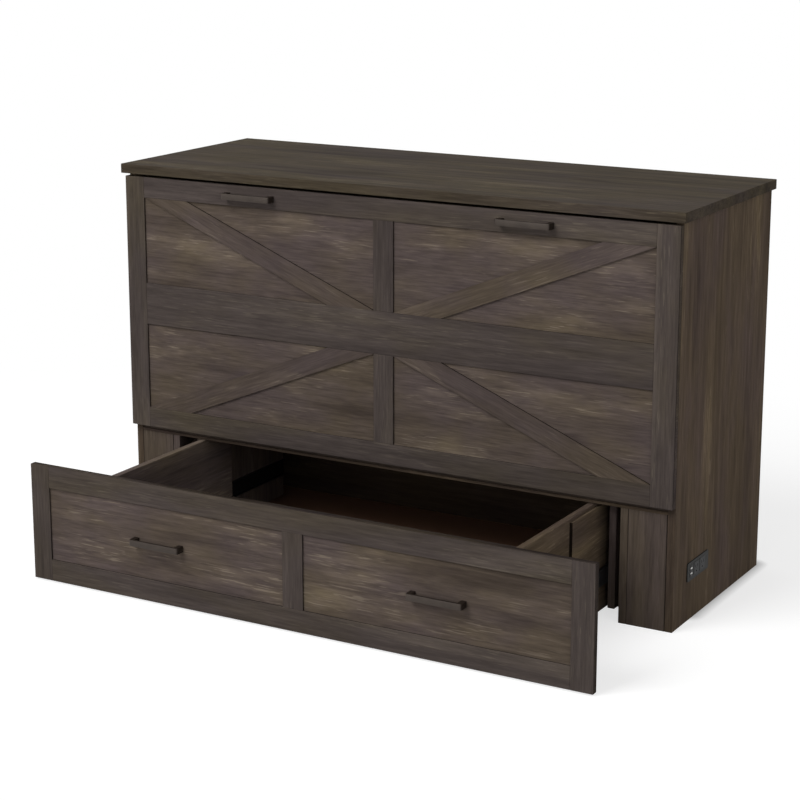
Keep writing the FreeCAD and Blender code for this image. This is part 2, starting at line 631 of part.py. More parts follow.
def pulls(front, face, level):
    """A flat bridge pull on each half of a front."""
    post_in = "(pull_length / 2 - pull_post)"
    strap_back = f"({face} - pull_reach + pull_strap)"
    strap_face = f"({face} - pull_reach)"
    for side, sign in BOTH.items():
        middle = f"({sign} * {PULL_MIDDLE})"
        ends = [f"({middle} - pull_length / 2)", f"({middle} - {post_in})",
                f"({middle} + {post_in})", f"({middle} + pull_length / 2)"]
        corners = [(ends[0], face), (ends[1], face), (ends[1], strap_back), (ends[2], strap_back),
                   (ends[2], face), (ends[3], face), (ends[3], strap_face), (ends[0], strap_face)]
        half = "pull_height / 2"
        label = f"{side}_{front}_handle_bar"
        bar = prism(label, "XY_Plane", corners, f"{level} - {half}", f"{level} + {half}")
        eased(bar, f"{label}_rounding", "pull_corner", upright_at_front)
        bite = (f"{face} - screw_bite - fit_gap", f"{face} + fit_gap")
        threads = [screw_bar(f"{label}_thread_{name}", x, bite, level, "screw_radius + pin_play")
                   for name, x in post_middles(sign)]
        keep(cut(f"{side}_{front}_handle", bar, threads))


def post_middles(sign):
    reach = "(pull_length - pull_post) / 2"
    return (("near", f"{sign} * {PULL_MIDDLE} - {reach}"), ("far", f"{sign} * {PULL_MIDDLE} + {reach}"))


def screw_holes(label, low, high, level):
    """Cutters for the four pull screws through a board between two depths."""
    return [screw_bar(f"{label}_hole_{side}_{name}", x, (f"{low} - fit_gap", f"{high} + fit_gap"), level,
                      "screw_radius + pin_play")
            for side, sign in BOTH.items() for name, x in post_middles(sign)]


def pull_screws(front, core, face, level):
    """Four screws with their heads behind the core and their tips in the pull's posts."""
    screws = []
    for side, sign in BOTH.items():
        for name, x in post_middles(sign):
            label = f"{front}_screw_{side}_{name}"
            shank = screw_bar(f"{label}_shank", x, (f"{face} - screw_bite", core[1]), level, "screw_radius")
            behind = (core[1], f"{core[1]} + screw_head_height")
            head = screw_bar(f"{label}_head", x, behind, level, "screw_head")
            screws.append(fused(label, [shank, head]))
    return screws


def knuckle_spans(station):
    """Spans of the two outer knuckles and of the middle one, about a hinge's station."""
    edge = "(hinge_mid / 2 + hinge_play)"
    outer = [(f"{station} - hinge_length / 2", f"{station} - {edge}"),
             (f"{station} + {edge}", f"{station} + hinge_length / 2")]
    return outer, [centred(station, "hinge_mid")]


def hinge_leaf(label, station, plates, fingers, spans, axis, radius, bore):
    """Plates over the hinge's whole length, fingers and knuckles over the given spans, bored for the pin."""
    length = centred(station, "hinge_length")
    pieces = [block(f"{label}_plate_{i}", length, *plate) for i, plate in enumerate(plates)]
    for i, span in enumerate(spans):
        pieces += [block(f"{label}_finger_{i}_{j}", span, *finger) for j, finger in enumerate(fingers)]
        pieces.append(knuckle_bar(f"{label}_knuckle_{i}", span, *axis, radius))
    bore_span = centred(station, "hinge_length + 2 * fit_gap")
    return cut(label, fused(f"{label}_blank", pieces), [rod(f"{label}_bore", bore_span, *axis, bore)])


def hinge_row(label, names, stations, axis, radius, fixed, turning):
    """A row of hinges: leaves with two outer knuckles, leaves with one middle knuckle, and pins."""
    rows = ([], [], [])
    for name, station in stations.items():
        outer, middle = knuckle_spans(station)
        rows[0].append(hinge_leaf(f"{label}_fixed_{name}", station, *fixed, outer, axis, radius, "pin_radius"))
        rows[1].append(hinge_leaf(f"{label}_turning_{name}", station, *turning, middle, axis, radius,
                                  "pin_radius + pin_play"))
        rows[2].append(rod(f"{label}_pin_{name}", centred(station, "hinge_length"), *axis, "pin_radius"))
    for node, pieces in zip(names, rows):
        group(node, pieces)


def fold_hinges():
    """The deck leaf lies under the deck; the panel's leaf steps round the rebate to its rear face."""
    leaf_z = (DECK_LOW, f"{DECK_LOW} + leaf")
    root = f"({FOLD_Y} + fold_knuckle + hinge_play)"
    deck_leaf = [(root, "fold_leaf_deep"), leaf_z]
    deck_finger = [(FOLD_Y, root), leaf_z]
    arm_z = (f"{FOLD_Z} + fold_knuckle - leaf", f"{FOLD_Z} + fold_knuckle")
    panel_leaf = [(DOOR_BACK, f"{DOOR_BACK} + leaf"), (arm_z[0], f"{arm_z[0]} + fold_leaf_tall")]
    panel_arm = [(FOLD_Y, DOOR_BACK), arm_z]
    names = ("fold_hinge_deck_leaves", "fold_hinge_door_leaves", "fold_hinge_pins")
    hinge_row("fold_hinge", names, FOLD_STATIONS, (FOLD_Y, FOLD_Z), "fold_knuckle",
              ([deck_leaf], [deck_finger]), ([panel_leaf], [panel_arm]))


def lid_hinges():
    plane = ("body_depth", "body_depth + leaf")
    low = f"({LID_Z} - knuckle - knuckle_clear)"
    high = f"({LID_Z} + knuckle + knuckle_clear)"
    names = ("lid_hinge_cabinet_leaves", "lid_hinge_lid_leaves", "lid_hinge_pins")
    hinge_row("lid_hinge", names, LID_STATIONS, (LID_Y, LID_Z), "knuckle",
              ([[plane, (f"{low} - lid_leaf", low)]], [[plane, (low, LID_Z)]]),
              ([[plane, (high, f"{high} + lid_leaf_up")]], [[plane, (LID_Z, high)]]))


def foot_hinges():
    door_plane = (DOOR_BACK, f"{DOOR_BACK} + leaf")
    foot_plane = (f"{FOOT_NEAR} - leaf", FOOT_NEAR)
    low = f"({TIP_Z} - knuckle - knuckle_clear)"
    tall = (f"{low} - tip_leaf", low)
    names = ("foot_hinge_door_leaves", "foot_hinge_foot_leaves", "foot_hinge_pins")
    hinge_row("foot_hinge", names, TIP_STATIONS, (TIP_Y, TIP_Z), "knuckle",
              ([[door_plane, tall]], [[door_plane, (low, TIP_Z)]]),
              ([[foot_plane, tall]], [[foot_plane, (low, TIP_Z)]]))


def foot_section():
    """The board that unfolds beyond the front panel, its stiffeners, and the brackets of its legs."""
    keep(board("foot_board_panel", (f"-{FOOT_END}", FOOT_END), (FOOT_NEAR, FOOT_FAR), (FOOT_LOW, FOOT_TOP)))
    behind = (FOOT_FAR, f"{FOOT_FAR} + stiffener_height")
    across = (f"stiffener_width - {FOOT_END}", f"{FOOT_END} - stiffener_width")
    rows = {"far": f"({FOOT_LOW} + stiffener_inset)",
            "near": f"(({LEG_END} + leg_cap + {FOOT_TOP} - stiffener_width) / 2)"}
    group("foot_stiffeners", [board(f"foot_stiffener_{row}", across, behind, (low, f"{low} + stiffener_width"))
                              for row, low in rows.items()])
    brackets = []
    pins = []
    legs = {}
    for side, sign in BOTH.items():
        middle = f"({sign} * {LEG_MIDDLE})"
        brackets.append(leg_bracket(f"leg_bracket_{side}", middle))
        width = "leg_tube + 2 * bracket_play + 2 * bracket_sheet"
        pins.append(rod(f"leg_pin_{side}", centred(middle, width), LEG_Y, LEG_Z, "leg_pin"))
        legs[side] = middle
    group("leg_brackets", brackets)
    group("leg_pins", pins)
    folding_legs(legs)


def leg_bracket(label, middle):
    """A plate on the foot board with an ear on each side of the leg."""
    gap = "(leg_tube / 2 + bracket_play)"
    tall = centred(LEG_Z, "bracket_width")
    ear_depth = (FOOT_FAR, f"{LEG_Y} + leg_tube / 2")
    spans = {"low": (f"{middle} - {gap} - bracket_sheet", f"{middle} - {gap}"),
             "high": (f"{middle} + {gap}", f"{middle} + {gap} + bracket_sheet")}
    ears = [block(f"{label}_ear_{name}", span, ear_depth, tall) for name, span in spans.items()]
    base = block(f"{label}_base", centred(middle, "leg_tube + 2 * bracket_play + 2 * bracket_sheet"),
                 (FOOT_FAR, f"{LEG_Y} - leg_tube / 2 - bracket_play"), tall)
    bore = rod(f"{label}_bore", centred(middle, "2 * leg_tube"), LEG_Y, LEG_Z, "leg_pin")
    return cut(label, fused(f"{label}_blank", ears + [base]), [bore])


def folding_legs(legs):
    """Square legs with a round pivot end, a cap under each and a bar between them."""
    tube_y = centred(LEG_Y, "leg_tube")
    caps = []
    for side, middle in legs.items():
        across = centred(middle, "leg_tube")
        tube = block(f"{side}_leg_tube", across, tube_y, (LEG_Z, LEG_END))
        eye = rod(f"{side}_leg_eye", across, LEG_Y, LEG_Z, "leg_tube / 2")
        bore = rod(f"{side}_leg_bore", centred(middle, "2 * leg_tube"), LEG_Y, LEG_Z, "leg_pin + pin_play")
        keep(cut(f"{side}_leg", fused(f"{side}_leg_blank", [tube, eye]), [bore]))
        caps.append(board(f"{side}_leg_cap", across, tube_y, (LEG_END, f"{LEG_END} + leg_cap")))
    group("leg_caps", caps)
    reach = f"({LEG_MIDDLE} - leg_tube / 2)"
    keep(board("leg_crossbar", (f"-{reach}", reach), centred(LEG_Y, "leg_bar"),
               centred(f"({LEG_END} - leg_bar_inset)", "leg_bar")))


def catches():
    """Magnets on the side panels that hold the front panel by its strike plates."""
    middle = f"({DOOR_TOP} - catch_drop)"
    front = f"({DOOR_BACK} + strike_board + catch_play)"
    strike_in = f"({SIDE_IN} - (catch_width + strike_width) / 2)"
    magnets = []
    strikes = []
    for side, span in SIDES.items():
        magnets.append(board(f"catch_{side}", span(f"{SIDE_IN} - catch_width", SIDE_IN),
                             (front, f"{front} + catch_depth"), centred(middle, "catch_height")))
        strikes.append(block(f"strike_{side}", span(strike_in, f"{strike_in} + strike_width"),
                             (DOOR_BACK, f"{DOOR_BACK} + strike_board"), centred(middle, "catch_height")))
    group("magnetic_catches", magnets)
    group("catch_strikes", strikes)


def outlet():
    """Cover plate, box, two socket inserts and an insert with two charging ports."""
    plate_y = ("outlet_front", "outlet_front + outlet_width")
    plate_z = ("outlet_low", "outlet_low + outlet_height")
    level = "(outlet_low + outlet_height / 2)"
    face = f"({SIDE_OUT} + outlet_board)"
    proud = f"({face} + insert_proud)"
    seat = f"({proud} - insert_deep)"
    corners = [(plate_y[0], plate_z[0]), (plate_y[1], plate_z[0]),
               (plate_y[1], plate_z[1]), (plate_y[0], plate_z[1])]
    plate = prism("outlet_cover", "YZ_Plane", corners, SIDE_OUT, face)
    eased(plate, "outlet_cover_corners", "outlet_corner", along_width)

    socket_middles = ["(outlet_front + socket_first)", "(outlet_front + socket_first + socket_pitch)"]
    usb_middle = "(outlet_front + usb_place)"
    spans = [(centred(middle, "socket_size"), centred(level, "socket_size")) for middle in socket_middles]
    spans.append((centred(usb_middle, "usb_width"), centred(level, "usb_height")))
    windows = [block(f"outlet_window_{i}", (f"{SIDE_OUT} - fit_gap", f"{proud} + fit_gap"), *span)
               for i, span in enumerate(spans)]
    keep(cut("outlet_plate", plate, windows))

    case_y = (f"{OUTLET_CUT_Y[0]} + fit_gap / 2", f"{OUTLET_CUT_Y[1]} - fit_gap / 2")
    case_z = (f"{OUTLET_CUT_Z[0]} + fit_gap / 2", f"{OUTLET_CUT_Z[1]} - fit_gap / 2")
    case = board("outlet_case", (f"{SIDE_OUT} - outlet_deep", SIDE_OUT), case_y, case_z)
    seats = [block(f"outlet_seat_{i}", (seat, f"{proud} + fit_gap"), *span) for i, span in enumerate(spans)]
    keep(cut("outlet_box", case, seats))

    sockets = []
    for i, middle in enumerate(socket_middles):
        insert = block(f"socket_insert_{i}", (seat, proud), *spans[i])
        through = (f"{seat} + insert_wall", f"{proud} + fit_gap")
        slot_z = centred(f"({level} + ground_drop / 2)", "slot_height")
        slots = [block(f"socket_{i}_slot_{j}", through,
                       centred(f"{middle} {sign} slot_spread / 2", "slot_width"), slot_z)
                 for j, sign in enumerate("-+")]
        slots.append(rod(f"socket_{i}_earth", through, middle, f"{level} - ground_drop", "ground_radius"))
        sockets.append(cut(f"socket_{i}", insert, slots))
    group("outlet_sockets", sockets)
    port_x = (f"{proud} - port_deep", f"{proud} + fit_gap")
    port_y = centred(usb_middle, "port_width")
    ports = [block(f"charging_port_{i}", port_x, port_y,
                   centred(f"({level} {sign} port_pitch / 2)", "port_height"))
             for i, sign in enumerate("-+")]
    keep(cut("outlet_charging_ports", block("charging_insert", (seat, proud), *spans[2]), ports))


def write_parts():
    """Check every object, then write each sub-part to its own file."""
    doc.recompute()
    for item in doc.Objects:
        if "Invalid" in item.State or "Error" in item.State:
            raise RuntimeError(f"{item.Label} failed: {item.State}")
    for item in nodes:
        if item.Shape.isNull() or not item.Shape.isValid() or not item.Shape.Solids:
            raise RuntimeError(f"{item.Label} has no sound shape")
    os.makedirs("parts", exist_ok=True)
    for item in nodes:
        item.Shape.exportStep(f"parts/{item.Label}.step")


cabinet_shell()
columns()
deck()
lid()
front_panel()
drawer()
slides()
fold_hinges()
lid_hinges()
foot_hinges()
foot_section()
catches()
outlet()
write_parts()
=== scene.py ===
"""Looks of a chest-style wall bed: walnut laminate, bronze pulls, black slides, hinges and a power outlet."""
import json
import math
from collections import namedtuple

import bmesh
import bpy
from bpy.props import FloatProperty, FloatVectorProperty, IntProperty, PointerProperty
from mathutils import Matrix, Vector


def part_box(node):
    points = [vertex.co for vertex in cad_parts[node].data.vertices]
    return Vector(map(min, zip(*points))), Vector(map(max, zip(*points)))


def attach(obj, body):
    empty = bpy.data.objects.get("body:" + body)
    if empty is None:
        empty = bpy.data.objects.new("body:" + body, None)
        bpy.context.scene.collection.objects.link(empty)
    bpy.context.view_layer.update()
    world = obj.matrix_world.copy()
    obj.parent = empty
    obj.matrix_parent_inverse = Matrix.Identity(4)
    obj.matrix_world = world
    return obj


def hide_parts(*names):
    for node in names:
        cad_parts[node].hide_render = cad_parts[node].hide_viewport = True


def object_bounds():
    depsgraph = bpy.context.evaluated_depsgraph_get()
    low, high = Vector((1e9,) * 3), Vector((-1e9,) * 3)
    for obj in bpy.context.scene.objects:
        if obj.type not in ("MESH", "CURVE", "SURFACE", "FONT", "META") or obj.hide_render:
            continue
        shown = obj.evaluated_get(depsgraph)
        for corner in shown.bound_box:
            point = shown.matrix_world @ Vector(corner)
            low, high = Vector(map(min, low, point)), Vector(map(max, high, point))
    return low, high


bl_info = {
    "name": "Wall bed",
    "version": (1, 0, 0),
    "blender": (4, 5, 0),
    "location": "View3D > Sidebar > Wall bed",
    "description": "Dresses a folding cabinet bed and sets up a plain studio",
    "category": "Object",
}

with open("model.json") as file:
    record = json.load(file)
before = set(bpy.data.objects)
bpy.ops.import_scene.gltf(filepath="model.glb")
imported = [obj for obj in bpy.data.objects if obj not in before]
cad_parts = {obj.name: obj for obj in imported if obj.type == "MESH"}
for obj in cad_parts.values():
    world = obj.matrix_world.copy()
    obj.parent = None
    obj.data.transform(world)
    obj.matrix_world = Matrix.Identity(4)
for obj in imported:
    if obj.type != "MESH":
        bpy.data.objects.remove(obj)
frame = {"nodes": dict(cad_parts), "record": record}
CAD_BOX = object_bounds()
NODES = frame["nodes"]
MM = 0.001
WHITE = (1.0, 1.0, 1.0)

# Turns that bring the grain of a board onto the X axis of its pattern
ALONG_X = (0.0, 0.0, 0.0)
ALONG_Y = (0.0, 0.0, -math.pi / 2)
ALONG_Z = (0.0, math.pi / 2, 0.0)

# How often the figure changes along a metre, on long boards and on the short fields and braces
LONG_FIGURE = 1.5
SHORT_FIGURE = 2.6

# Hues of the boards, as factors of the walnut's tones
GREYED = (0.96, 1.0, 0.98)
BROWN = WHITE
OLIVE = (0.98, 1.0, 0.90)
UMBER = (1.06, 1.0, 0.90)

# Turn and shift of a board's pattern, its hue, warmth of its tint, strength of its figure, lightness of the faces
# that look to the front or back and of the rest (painted light and shade by the way a face looks), and how often
# its figure changes along a metre
Board = namedtuple("Board", "turn shift hue warmth figure front rest run", defaults=(LONG_FIGURE,))
# Painted light and shade in the two lightnesses: the lid's top is darkened, the edges of the door's and the
# drawer front's frames, braces and cores are painted dark as shadow lines, the cheeks' front edges nearly black
# as shadow, and the runner boards, return strips and left drawer side are painted lighter as if lit
BOARDS = {
    "lid_slab": Board(ALONG_X, (3.3, 1.7, 0.6), OLIVE, 0.1, 1.0, 0.76, 0.74),
    "left_side_panel": Board(ALONG_Z, (0.2, 0.0, 3.1), UMBER, 0.2, 0.95, 1.1, 1.2),
    "right_side_panel": Board(ALONG_Z, (2.4, 0.7, 0.3), UMBER, 0.2, 0.95, 0.85, 1.2),
    "plinth_boards": Board(ALONG_Z, (5.2, 1.1, 0.9), BROWN, 0.1, 0.6, 1.07, 1.07),
    "return_strips": Board(ALONG_Z, (4.1, 2.3, 0.2), BROWN, 0.0, 0.6, 1.15, 0.92),
    "runner_boards": Board(ALONG_Z, (3.3, 1.9, 2.2), BROWN, 0.0, 0.6, 1.7, 1.4),
    "deck_bottom_panel": Board(ALONG_X, (0.9, 3.4, 1.2), UMBER, 0.1, 0.6, 0.95, 0.95),
    "bed_deck": Board(ALONG_X, (2.9, 0.6, 4.4), BROWN, 0.1, 0.7, 1.0, 1.0),
    "back_panel": Board(ALONG_X, (6.1, 1.7, 0.8), UMBER, 0.1, 0.6, 1.0, 1.0),
    "top_rear_rail": Board(ALONG_X, (7.3, 2.2, 1.6), BROWN, 0.1, 0.6, 0.92, 0.92),
    "door_core": Board(ALONG_X, (20.36, 5.97, 11.51), BROWN, 0.0, 0.95, 1.1, 0.8, SHORT_FIGURE),
    "door_rails": Board(ALONG_X, (3.7, 5.0, 2.2), GREYED, -0.25, 0.55, 0.9, 0.34),
    "door_stiles": Board(ALONG_Z, (1.9, 4.2, 0.7), GREYED, -0.25, 0.55, 0.92, 0.34),
    "door_centre_stiles": Board(ALONG_Z, (2.7, 3.1, 5.3), GREYED, -0.25, 0.55, 0.88, 0.34),
    "drawer_front_core": Board(ALONG_X, (7.33, 2.13, 5.21), BROWN, 0.0, 0.95, 1.13, 0.4, SHORT_FIGURE),
    "drawer_front_rails": Board(ALONG_X, (9.4, 0.2, 1.1), GREYED, -0.3, 0.55, 0.92, 0.34),
    "drawer_front_stiles": Board(ALONG_Z, (5.5, 2.8, 4.7), GREYED, -0.35, 0.55, 0.9, 0.34),
    "left_drawer_side": Board(ALONG_Y, (0.6, 6.1, 2.4), BROWN, 0.0, 0.7, 0.95, 1.5),
    "right_drawer_side": Board(ALONG_Y, (1.8, 7.7, 0.9), UMBER, 0.15, 0.7, 0.95, 0.95),
    "drawer_cheeks": Board(ALONG_Y, (2.1, 8.3, 5.5), UMBER, 0.2, 0.8, 0.2, 1.1),
    "drawer_back": Board(ALONG_X, (4.8, 6.6, 3.3), BROWN, 0.0, 0.6, 0.9, 0.9),
    "foot_board_panel": Board(ALONG_X, (6.9, 5.8, 2.6), BROWN, 0.1, 0.7, 1.0, 1.0),
}
BRACE = Board(ALONG_X, (2.3, 0.0, 1.7), BROWN, 0.0, 0.6, 1.02, 0.34, SHORT_FIGURE)

# Turn and shift of the pattern on inner boards without figure
PLAIN_BOARDS = {
    "runner_spacers": (ALONG_Z, (0.0, 0.3, 0.5)),
    "deck_cleats": (ALONG_Y, (0.4, 0.0, 0.9)),
    "deck_battens": (ALONG_X, (0.8, 0.2, 0.0)),
    "drawer_bottom": (ALONG_X, (0.1, 0.7, 0.3)),
    "drawer_skid": (ALONG_Y, (0.6, 0.5, 0.2)),
    "foot_stiffeners": (ALONG_X, (0.3, 0.9, 0.7)),
}

# Rows of hinge leaves that show their screws: body, and place of the screws as a part of the leaf's height
HINGE_ROWS = {
    "lid_hinge_cabinet_leaves": ("cabinet", 0.35),
    "lid_hinge_lid_leaves": ("lid", 0.55),
    "fold_hinge_door_leaves": ("front_panel", 0.62),
    "foot_hinge_door_leaves": ("front_panel", 0.38),
    "foot_hinge_foot_leaves": ("foot_section", 0.38),
}

# Scale of a noise along, across and through a piece, and its detail, roughness and distortion
Pattern = namedtuple("Pattern", "scale detail roughness distortion", defaults=(0.5, 0.0))
STREAKS = Pattern((2.4, 52.0, 52.0), 4.0, 0.65)
GRAIN = Pattern((13.0, 200.0, 200.0), 3.0, 0.65)
DASHES = Pattern((15.0, 250.0, 250.0), 2.0)
CLOUDS = Pattern((2.2, 24.0, 24.0), 5.0, 0.62)
FIBRES = Pattern((60.0, 480.0, 480.0), 2.0)
DRAWN_LINES = Pattern((30.0, 1800.0, 1800.0), 2.0)
MOTTLE = Pattern((60.0, 60.0, 60.0), 3.0)
WEAR = Pattern((35.0, 35.0, 35.0), 3.0)

# Parts of a noise's range: the span that most of it fills, and a narrower one for the inner boards
SPAN = (0.3, 0.7)
INNER_SPAN = (0.32, 0.68)

# Figure: its changes across a metre, places of its tones, and the part of it that carries light dashes
FIGURE_ACROSS = 11.0
DARK_AT, MIDDLE_FROM, MIDDLE_TO, LIGHT_AT = 0.32, 0.46, 0.54, 0.72
DASHED_FROM, DASHED_FULL = 0.46, 0.60
# Patches of tint: changes for each change of the figure, changes across, ends of the blend and its move by warmth
PATCH_RUN, PATCH_ACROSS = 1.27, 6.0
COOL_AT, WARM_AT, WARMTH_MOVE = 0.38, 0.62, 0.28
# Depth of streaks and grain on a plain board, and what a full figure adds
STREAK_DEPTH, STREAK_GAIN = 0.195, 0.15
GRAIN_DEPTH, GRAIN_GAIN = 0.14, 0.08
# Light dashes: ends of their noise, strength, and lightness as a factor of the light tone
DASH_FROM, DASH_FULL, DASH_STRENGTH, DASH_LIGHTNESS = 0.60, 0.66, 0.6, 1.5
# Swing of the laminate's roughness, and tone that is left in a joint line
LAMINATE_SWING = 0.07
JOINT_SHADE = 0.2
# Y of a normal past which a board's face has its painted front light, and ends of a pull strap's painted-lit face
FACES_FRONT = 0.7
STRAP_LIT_FACE, STRAP_SHADED_SIDE = -0.95, -0.55

# Gloss of inner boards, coated metal, and plastic or rubber; the floor's roughness; the sensor in millimetres
INNER_GLOSS, METAL_GLOSS, MOULDED_GLOSS = 0.05, 0.25, 0.06
FLOOR_ROUGHNESS = 0.9
SENSOR_WIDTH = 36.0

# Mesh work: distance of merged points, angles below which edges are shaded smooth and above which they are
# rounded, and steps of rounded corners and edges
MERGE = 1e-6
SMOOTH_BELOW = math.radians(35)
ROUNDED_ABOVE = math.radians(40)
CORNER_STEPS = 6
EDGE_STEPS = 2
# Screw heads: sides, and taper, rim of the recess and its depth as parts of radius and height
HEAD_SIDES = 16
HEAD_TAPER, HEAD_RIM, HEAD_RECESS = 0.72, 0.36, 0.6


class WalnutFinish(bpy.types.PropertyGroup):
    """Walnut laminate"""
    dark: FloatVectorProperty(name="Dark", description="Dark bands of the figure", subtype="COLOR",
                              size=3, min=0, max=1, default=(0.052, 0.041, 0.038))
    middle: FloatVectorProperty(name="Middle", description="Ground tone", subtype="COLOR",
                                size=3, min=0, max=1, default=(0.079, 0.063, 0.055))
    light: FloatVectorProperty(name="Light", description="Light streaks", subtype="COLOR",
                               size=3, min=0, max=1, default=(0.136, 0.110, 0.085))
    warm: FloatVectorProperty(name="Warm", description="Tint of the olive-brown patches", subtype="COLOR",
                              size=3, min=0, max=2, default=(1.03, 1.0, 0.86))
    cool: FloatVectorProperty(name="Cool", description="Tint of the grey-plum patches", subtype="COLOR",
                              size=3, min=0, max=2, default=(0.99, 0.96, 1.02))
    roughness: FloatProperty(name="Roughness", description="Middle roughness of the laminate",
                             subtype="FACTOR", min=0, max=1, default=0.55)
    gloss: FloatProperty(name="Gloss", description="Specular level of the matt laminate",
                         subtype="FACTOR", min=0, max=1, default=0.005)
    relief: FloatProperty(name="Relief", description="Depth of the pressed grain", unit="LENGTH",
                          default=0.3 * MM)
    relief_strength: FloatProperty(name="Relief strength", description="How much of the relief shows",
                                   subtype="FACTOR", min=0, max=1, default=0.14)
    joint: FloatProperty(name="Joint", description="Width of the dark lines where the column boards meet",
                         unit="LENGTH", default=2.4 * MM)


class HardwareFinish(bpy.types.PropertyGroup):
    """Pulls, slides, hinges, legs and outlet"""
    bronze: FloatVectorProperty(name="Bronze", description="Coat of the pulls", subtype="COLOR",
                                size=3, min=0, max=1, default=(0.050, 0.039, 0.032))
    # Painted shade on the pulls' sides and ends, as a tint of the coat
    bronze_side_shade: FloatVectorProperty(name="Bronze sides", description="Tint of the pulls' sides and ends",
                                     subtype="COLOR", size=3, min=0, max=1, default=(0.38, 0.33, 0.30))
    slide: FloatVectorProperty(name="Slide", description="Coat of the slides", subtype="COLOR",
                               size=3, min=0, max=1, default=(0.016, 0.016, 0.017))
    zinc: FloatVectorProperty(name="Zinc", description="Plating of hinges and screws", subtype="COLOR",
                              size=3, min=0, max=1, default=(0.36, 0.36, 0.35))
    leg: FloatVectorProperty(name="Leg", description="Powder coat of the legs", subtype="COLOR",
                             size=3, min=0, max=1, default=(0.020, 0.020, 0.021))
    cap: FloatVectorProperty(name="Cap", description="Rubber of the leg caps", subtype="COLOR",
                             size=3, min=0, max=1, default=(0.012, 0.012, 0.012))
    cover: FloatVectorProperty(name="Cover", description="Outlet cover", subtype="COLOR",
                               size=3, min=0, max=1, default=(0.026, 0.026, 0.025))
    insert: FloatVectorProperty(name="Insert", description="Outlet inserts", subtype="COLOR",
                                size=3, min=0, max=1, default=(0.017, 0.017, 0.018))
    tongue: FloatVectorProperty(name="Tongue", description="Tongues in the charging ports", subtype="COLOR",
                                size=3, min=0, max=1, default=(0.86, 0.86, 0.84))
    catch: FloatVectorProperty(name="Catch", description="Housing of the magnetic catches", subtype="COLOR",
                               size=3, min=0, max=1, default=(0.030, 0.026, 0.024))
    relief: FloatProperty(name="Relief", description="Depth of the fine surface grain", unit="LENGTH",
                          default=0.1 * MM)


class PullShape(bpy.types.PropertyGroup):
    """Rounded pulls"""
    post: FloatProperty(name="Post", description="Width of a post", unit="LENGTH", default=13 * MM)
    strap: FloatProperty(name="Strap", description="Thickness of the strap", unit="LENGTH", default=6 * MM)
    corner: FloatProperty(name="Corner", description="Radius of the outer corners", unit="LENGTH",
                          default=5 * MM)
    edge: FloatProperty(name="Edge", description="Rounding of the edges", unit="LENGTH", default=0.7 * MM)


class ScrewSizes(bpy.types.PropertyGroup):
    """Screws of back panel, slides and hinges"""
    back_count: IntProperty(name="Back screws", description="Screws in a row of the back panel",
                            min=1, default=8)
    back_radius: FloatProperty(name="Back radius", description="Radius of a back panel screw",
                               unit="LENGTH", default=4.0 * MM)
    back_height: FloatProperty(name="Back height", description="Height of a back panel screw",
                               unit="LENGTH", default=1.6 * MM)
    slide_count: IntProperty(name="Slide screws", description="Screws along a slide", min=1, default=4)
    slide_radius: FloatProperty(name="Slide radius", description="Radius of a slide screw",
                                unit="LENGTH", default=3.4 * MM)
    slide_height: FloatProperty(name="Slide height", description="Height of a slide screw",
                                unit="LENGTH", default=1.8 * MM)
    slide_sheet: FloatProperty(name="Slide sheet", description="Thickness of the drawer member's sheet",
                               unit="LENGTH", default=1.2 * MM)
    hinge_radius: FloatProperty(name="Hinge radius", description="Radius of a hinge screw",
                                unit="LENGTH", default=3.6 * MM)
    hinge_height: FloatProperty(name="Hinge height", description="Height of a hinge screw",
                                unit="LENGTH", default=0.9 * MM)
    hinge_leaf: FloatProperty(name="Hinge leaf", description="Length of a hinge leaf",
                              unit="LENGTH", default=80 * MM)
    hinge_spread: FloatProperty(name="Hinge spread", description="From the middle of a leaf to its screws",
                                unit="LENGTH", default=27 * MM)


class TongueShape(bpy.types.PropertyGroup):
    """Tongues in the charging ports"""
    thick: FloatProperty(name="Thickness", description="Thickness of a tongue", unit="LENGTH",
                         default=3.8 * MM)
    wide: FloatProperty(name="Width", description="Width of a tongue", unit="LENGTH", default=11.0 * MM)
    set_back: FloatProperty(name="Set back", description="From the insert's face to a tongue", unit="LENGTH",
                            default=0.1 * MM)
    edge: FloatProperty(name="Edge", description="Rounding of the edges", unit="LENGTH", default=0.3 * MM)


